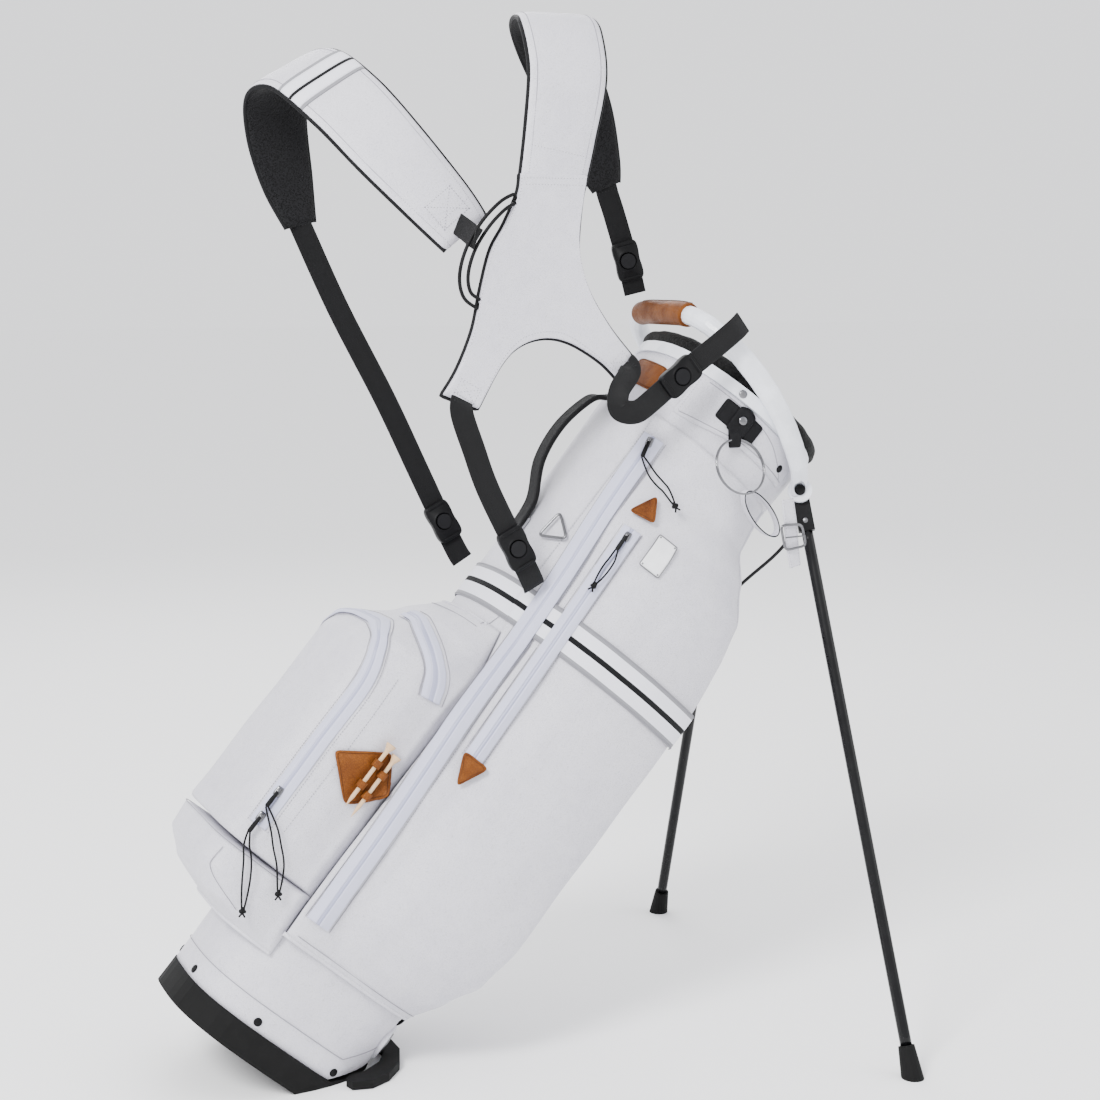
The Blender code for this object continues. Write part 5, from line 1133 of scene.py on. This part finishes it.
stripes = ((-0.0190, -0.0155, grey_weave), (-0.0155, -0.0018, pale_weave), (-0.0018, 0.0018, black_weave),
           (0.0018, 0.0155, pale_weave), (0.0155, 0.0190, grey_weave))
stripe_at = run[int(len(run) * 0.44)]
for number, (start, end, look) in enumerate(stripes):
    middle = np.interp([stripe_at + start, stripe_at + end], run, np.arange(len(run)))
    spots = np.linspace(*middle, 5)
    pick = [np.stack([np.interp(spots, np.arange(len(run)), part[:, k]) for k in range(3)], 1)
            for part in (path, side, face)]
    half, high = np.interp(spots, np.arange(len(run)), wide), np.interp(spots, np.arange(len(run)), puff)
    t = np.linspace(-1, 1, 30)
    level = (high[:, None] * crown_share(t * 0.985))[..., None]
    centre_line, sideways, outwards = (part[:, None] for part in pick)
    grid = centre_line + sideways * (half[:, None] * t)[..., None] * 0.985 + outwards * level
    walls = (grid + outwards * 0.0009, grid - outwards * 0.0006)
    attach(slab("strap_stripe_%d" % number, *walls, look), "bag")
inner_edge = evenly(smooth([(0.158, 0.705), (0.184, 0.750), (0.206, 0.770), (0.234, 0.777), (0.263, 0.771),
                            (0.297, 0.751), (0.318, 0.731)], 12), 0.0022)
left = smooth([(0.119, 0.720), (0.136, 0.746), (0.153, 0.786), (0.162, 0.827), (0.173, 0.867), (0.188, 0.893),
               (0.203, 0.925), (0.206, 0.945)], 12)
right = smooth([(0.279, 0.945), (0.270, 0.880), (0.280, 0.832), (0.305, 0.790), (0.334, 0.756)], 12)
share = np.linspace(0, 1, 90)


def along(line, at):
    """Points of a line at shares of its length."""
    run = walked(line)
    return np.stack([np.interp(np.asarray(at) * run[-1], run, line[:, k]) for k in range(line.shape[1])], -1)


top = np.stack([left[-1], right[0]])
outer_edge = np.concatenate([along(left, np.linspace(0, 1, 36)[:-1]), along(top, np.linspace(0, 1, 20)),
                             along(right, np.linspace(0, 1, 36)[1:])])
lower_edge = along(inner_edge, np.linspace(0, 1, 90))
v = np.linspace(0, 1, 40)[:, None]
flat = lower_edge[None] + (outer_edge - lower_edge)[None] * (0.5 - 0.5 * np.cos(np.pi * v))[..., None]
reach = np.linalg.norm(outer_edge - lower_edge, axis=1)[None] * np.minimum(v, 1 - v) * 1.6
ends = np.minimum(share, 1 - share)[None] * 0.5
gap = np.minimum(np.clip(reach / 0.012, 0.0, 1), np.clip(ends / 0.010, 0.0, 1))
half = 0.0014 + 0.0058 * np.sqrt(np.clip(1 - (1 - gap) ** 2, 0, 1))
yoke_y, yoke_face = -0.0900, -0.0972
sheets = [np.stack([flat[..., 0], yoke_y - way * half, flat[..., 1]], -1) for way in (1, -1)]
yoke = slab("strap_yoke", *sheets, [white, spacer], marks=(0, 1, 0))
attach(yoke, "bag")
rim = np.concatenate([outer_edge, lower_edge[::-1]])
rim = np.insert(evenly(np.concatenate([rim, rim[:1]]), 0.0025)[:-1], 1, yoke_y, axis=1)
bar("yoke_piping", rim, (0, -1, 0), piping_radius, piping_radius, black_leather, closed=True, sides=14)
runs = []
for share_up in (0.14, 0.90):
    row = sheets[0][int(share_up * 39), 6:-6]
    runs.append((row, np.broadcast_to((0.0, -1.0, 0.0), row.shape)))
runs += box_cross((0.1455, yoke_face, 0.7240), (0.021, 0, 0.036), (0, -1, 0), 0.016, 0.024)
runs += box_cross((0.3185, yoke_face, 0.7510), (-0.7, 0, 0.72), (0, -1, 0), 0.014, 0.018)
runs.append((np.stack([np.linspace(0.211, 0.273, 40), np.full(40, yoke_face), np.full(40, 0.934)], 1),
             np.broadcast_to((0.0, -1.0, 0.0), (40, 3))))
thread("yoke_stitching", runs, dark_grey_thread)
arc = [(0.200, -0.0945, 0.9200), (0.183, -0.1010, 0.912), (0.164, -0.1010, 0.893), (0.148, -0.1010, 0.868),
       (0.1405, -0.1010, 0.842), (0.144, -0.1010, 0.822), (0.160, -0.0945, 0.8120)]
arc = evenly(smooth(arc, 12), 0.0015)
arc_side = unit(np.cross(np.gradient(arc, axis=0), (0, -1.0, 0)))
hoop = np.concatenate([arc + arc_side * 0.0046, (arc - arc_side * 0.0046)[::-1]])
made = bar("arc_slider_rail", hoop, (0, -1, 0), 0.0019, 0.0019, black_nylon, closed=True, sides=16)
stand_in(made, "arc_slider")
rail_way = unit(np.array([-0.54, 0, -0.84]))
tab_line = smooth([(0.1445, -0.0560, 0.8985), (0.1520, -0.0760, 0.8880), (0.1545, -0.0955, 0.8800),
                   (0.1535, -0.1045, 0.8785), (0.1500, -0.1060, 0.8790)], 12)
bar("arc_slider_tab", tab_line, np.cross(rail_way, np.gradient(tab_line, axis=0)), 0.011, 0.0011,
    webbing_look,
    square=5, sides=28)

# ---- Webbing, side buckles and push buttons ----
# 25 mm black webbing, folded back and sewn, through moulded buckles released by a round push button.
webbing_half, webbing_thick, buckle_wide, buckle_long = 0.0125, 0.0011, 0.015, 0.0228
down = (0, -1, 0)
far_face = (-0.25, -0.95, 0)
lengths = (("upper_near", (0.374, -0.1260, 0.736), (0.78, 0.02, 0.62), (0, -1, 0),
            ((0.323, -0.0930, 0.752, *down), (0.326, -0.1045, 0.742, *down), (0.308, -0.116, 0.722, *down),
             (0.304, -0.1250, 0.704, *down),
             (0.322, -0.1265, 0.700, *down), (0.342, -0.1255, 0.712, *down), (0.374, -0.1230, 0.736, *down),
             (0.400, -0.1265, 0.756, *down), (0.418, -0.1296, 0.7700, *down), (0.437, -0.1312, 0.7850, *down),
             (0.447, -0.1275, 0.7925, *down))),
           ("lower_near", (0.196, -0.1040, 0.560), (0.46, 0.03, -0.89), (0, -1, 0),
            ((0.1450, -0.0905, 0.724, *down), (0.138, -0.0985, 0.704, *down), (0.150, -0.102, 0.664, *down),
             (0.165, -0.104, 0.622, *down),
             (0.196, -0.1040, 0.560, *down), (0.214, -0.101, 0.526, *down),
             (0.2190, -0.0970, 0.5165, *down))),
           ("upper_far", (0.402, 0.066, 0.858), (0.26, -0.02, -0.96), (-0.25, -0.95, -0.1),
            ((0.3745, 0.0700, 0.948, *far_face), (0.379, 0.0700, 0.932, *far_face),
             (0.386, 0.068, 0.910, *far_face), (0.402, 0.066, 0.858, -0.25, -0.95, -0.1),
             (0.4095, 0.0652, 0.829, *far_face), (0.4115, 0.0650, 0.821, *far_face))),
           ("lower_far", (0.188, 0.0980, 0.566), (0.46, -0.10, -0.88), (0, -1, 0.1),
            ((0.0265, 0.1070, 0.904, *down), (0.034, 0.1065, 0.886, *down), (0.071, 0.104, 0.804, *down),
             (0.122, 0.101, 0.705, *down),
             (0.160, 0.101, 0.625, *down), (0.188, 0.1008, 0.566, 0, -1, 0.1), (0.203, 0.0940, 0.532, *down),
             (0.2090, 0.0910, 0.5215, *down))))
for which, middle, direction, out, route in lengths:
    middle, y = np.array(middle), unit(np.array(direction))
    x = unit(np.cross(y, np.array(out, float)))
    z = np.cross(x, y)
    way = smooth(route, 14)
    line = bar("webbing_run_" + which, way[:, :3], way[:, 3:], webbing_half, webbing_thick, webbing_look,
               square=6, sides=36)
    stand_in(line, "webbing_" + which)
    t = whole_turn(96)
    edge = 1 / (np.abs(np.cos(t) / buckle_wide) ** 6 + np.abs(np.sin(t) / buckle_long) ** 6) ** (1 / 6)
    edge = edge * (1 - 0.06 * np.exp(-((np.abs(np.sin(t)) - 0.1) / 0.35) ** 2))
    rows = [(0.0002, 0, 0.0012), (0.0091, 0, 0.0012), (0.0092, 0, 0.0044), (0.0096, 0, 0.0055),
            (0.0106, 0, 0.0058), (0.0114, 0, 0.0054), (0.0118, 0, 0.0049), (0.0, 0.95, 0.0049),
            (0.0, 0.985, 0.0043), (0.0, 1.0, 0.0032), (0.0, 1.0, -0.0032), (0.0, 0.985, -0.0043),
            (0.0, 0.95, -0.0049), (0.0002, 0, -0.0050)]
    ray = x * np.cos(t)[:, None] + y * np.sin(t)[:, None]
    grid = np.stack([middle + ray * (radius + part * edge)[:, None] + z * high
                     for radius, part, high in rows])
    size = len(t)
    faces = quads(len(rows), size, True).tolist()
    faces += [list(range(size)), [(len(rows) - 1) * size + k for k in range(size)][::-1]]
    shell = build("buckle_" + which, grid.reshape(-1, 3), [face[::-1] for face in faces], black_nylon)
    if np.dot(np.cross(grid[8, 1] - grid[8, 0], grid[9, 0] - grid[8, 0]), grid[8, 0] - middle) > 0:
        shell.data.flip_normals()
    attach(shell, "bag")
    for end in (-1, 1):
        bar("buckle_bar_%s_%s" % (which, "in" if end < 0 else "out"), middle + y * end * 0.0192 + z * 0.0050
            + x * np.linspace(-0.0105, 0.0105, 8)[:, None], z, 0.0011, 0.0006, black_nylon, sides=12)
    runs = box_cross(way[6, :3] + unit(way[6, 3:]) * webbing_thick, way[12, :3] - way[0, :3], way[6, 3:],
                     0.014, 0.018)
    thread("webbing_stitching_" + which, runs, black_thread)
    dress("button_" + which, moulded("push_button_" + which, (0.008, 0.008, 0.009), 0.3, 0.1))

# ---- Legs, pivots, push rod and feet ----
# Black enamelled aluminium tubes in moulded hubs, turning on bolts through the collar's ears. A bent
# steel rod on the leg side joins the hubs to the foot lever. The feet are rubber.
pole_radius, pole_start, pole_end, rod_radius = 0.00635, 0.0453, 0.6083, 0.0020
enamel = moulded("black_enamel", (0.003, 0.003, 0.0035), 0.22, 0.04, 900.0, 0.2)
for which, sign in (("near", -1), ("far", 1)):
    pivot = np.array([0.545209, sign * 0.083, 0.602044])
    way = unit(np.array([0.031293, sign * 0.34687, -0.937391]))
    turn_axis = np.array([-sign * 0.441077, 0.846384, sign * 0.29847])
    out = turn_axis * (1 if turn_axis[1] * sign > 0 else -1)
    body = "leg_" + which
    tube_line = pivot + way * np.linspace(pole_start, pole_end, 60)[:, None]
    made = bar("leg_pole_" + which, tube_line, out, pole_radius, pole_radius, enamel, body, sides=32)
    stand_in(made, "leg_tube_" + which)
    studs("leg_rivet_" + which, pivot + way * 0.0335 + out * 0.0058, out,
          [(0.0030, 0.0), (0.0030, 0.0010), (0.0024, 0.0015), (0.0002, 0.0016)], satin_metal, body)
    dress("leg_hub_" + which, black_nylon)
    dress("leg_foot_" + which, rubber)
    dress("pivot_bolt_" + which, black_nylon)
rod_half = np.array([(0.129, -0.066, 0.806), (0.134, -0.050, 0.778), (0.133, -0.030, 0.735),
                     (0.130, -0.016, 0.680), (0.129, -0.013, 0.600), (0.129, -0.013, 0.400),
                     (0.129, -0.013, 0.200), (0.129, -0.012, 0.130), (0.129, -0.006, 0.112)])
rod_line = place(smooth(np.concatenate([rod_half, rod_half[::-1] * [1, -1, 1]]), 12))
made = bar("stand_rod", rod_line, axis_x, rod_radius, rod_radius, enamel, "rod", sides=16)
stand_in(made, "push_rod")
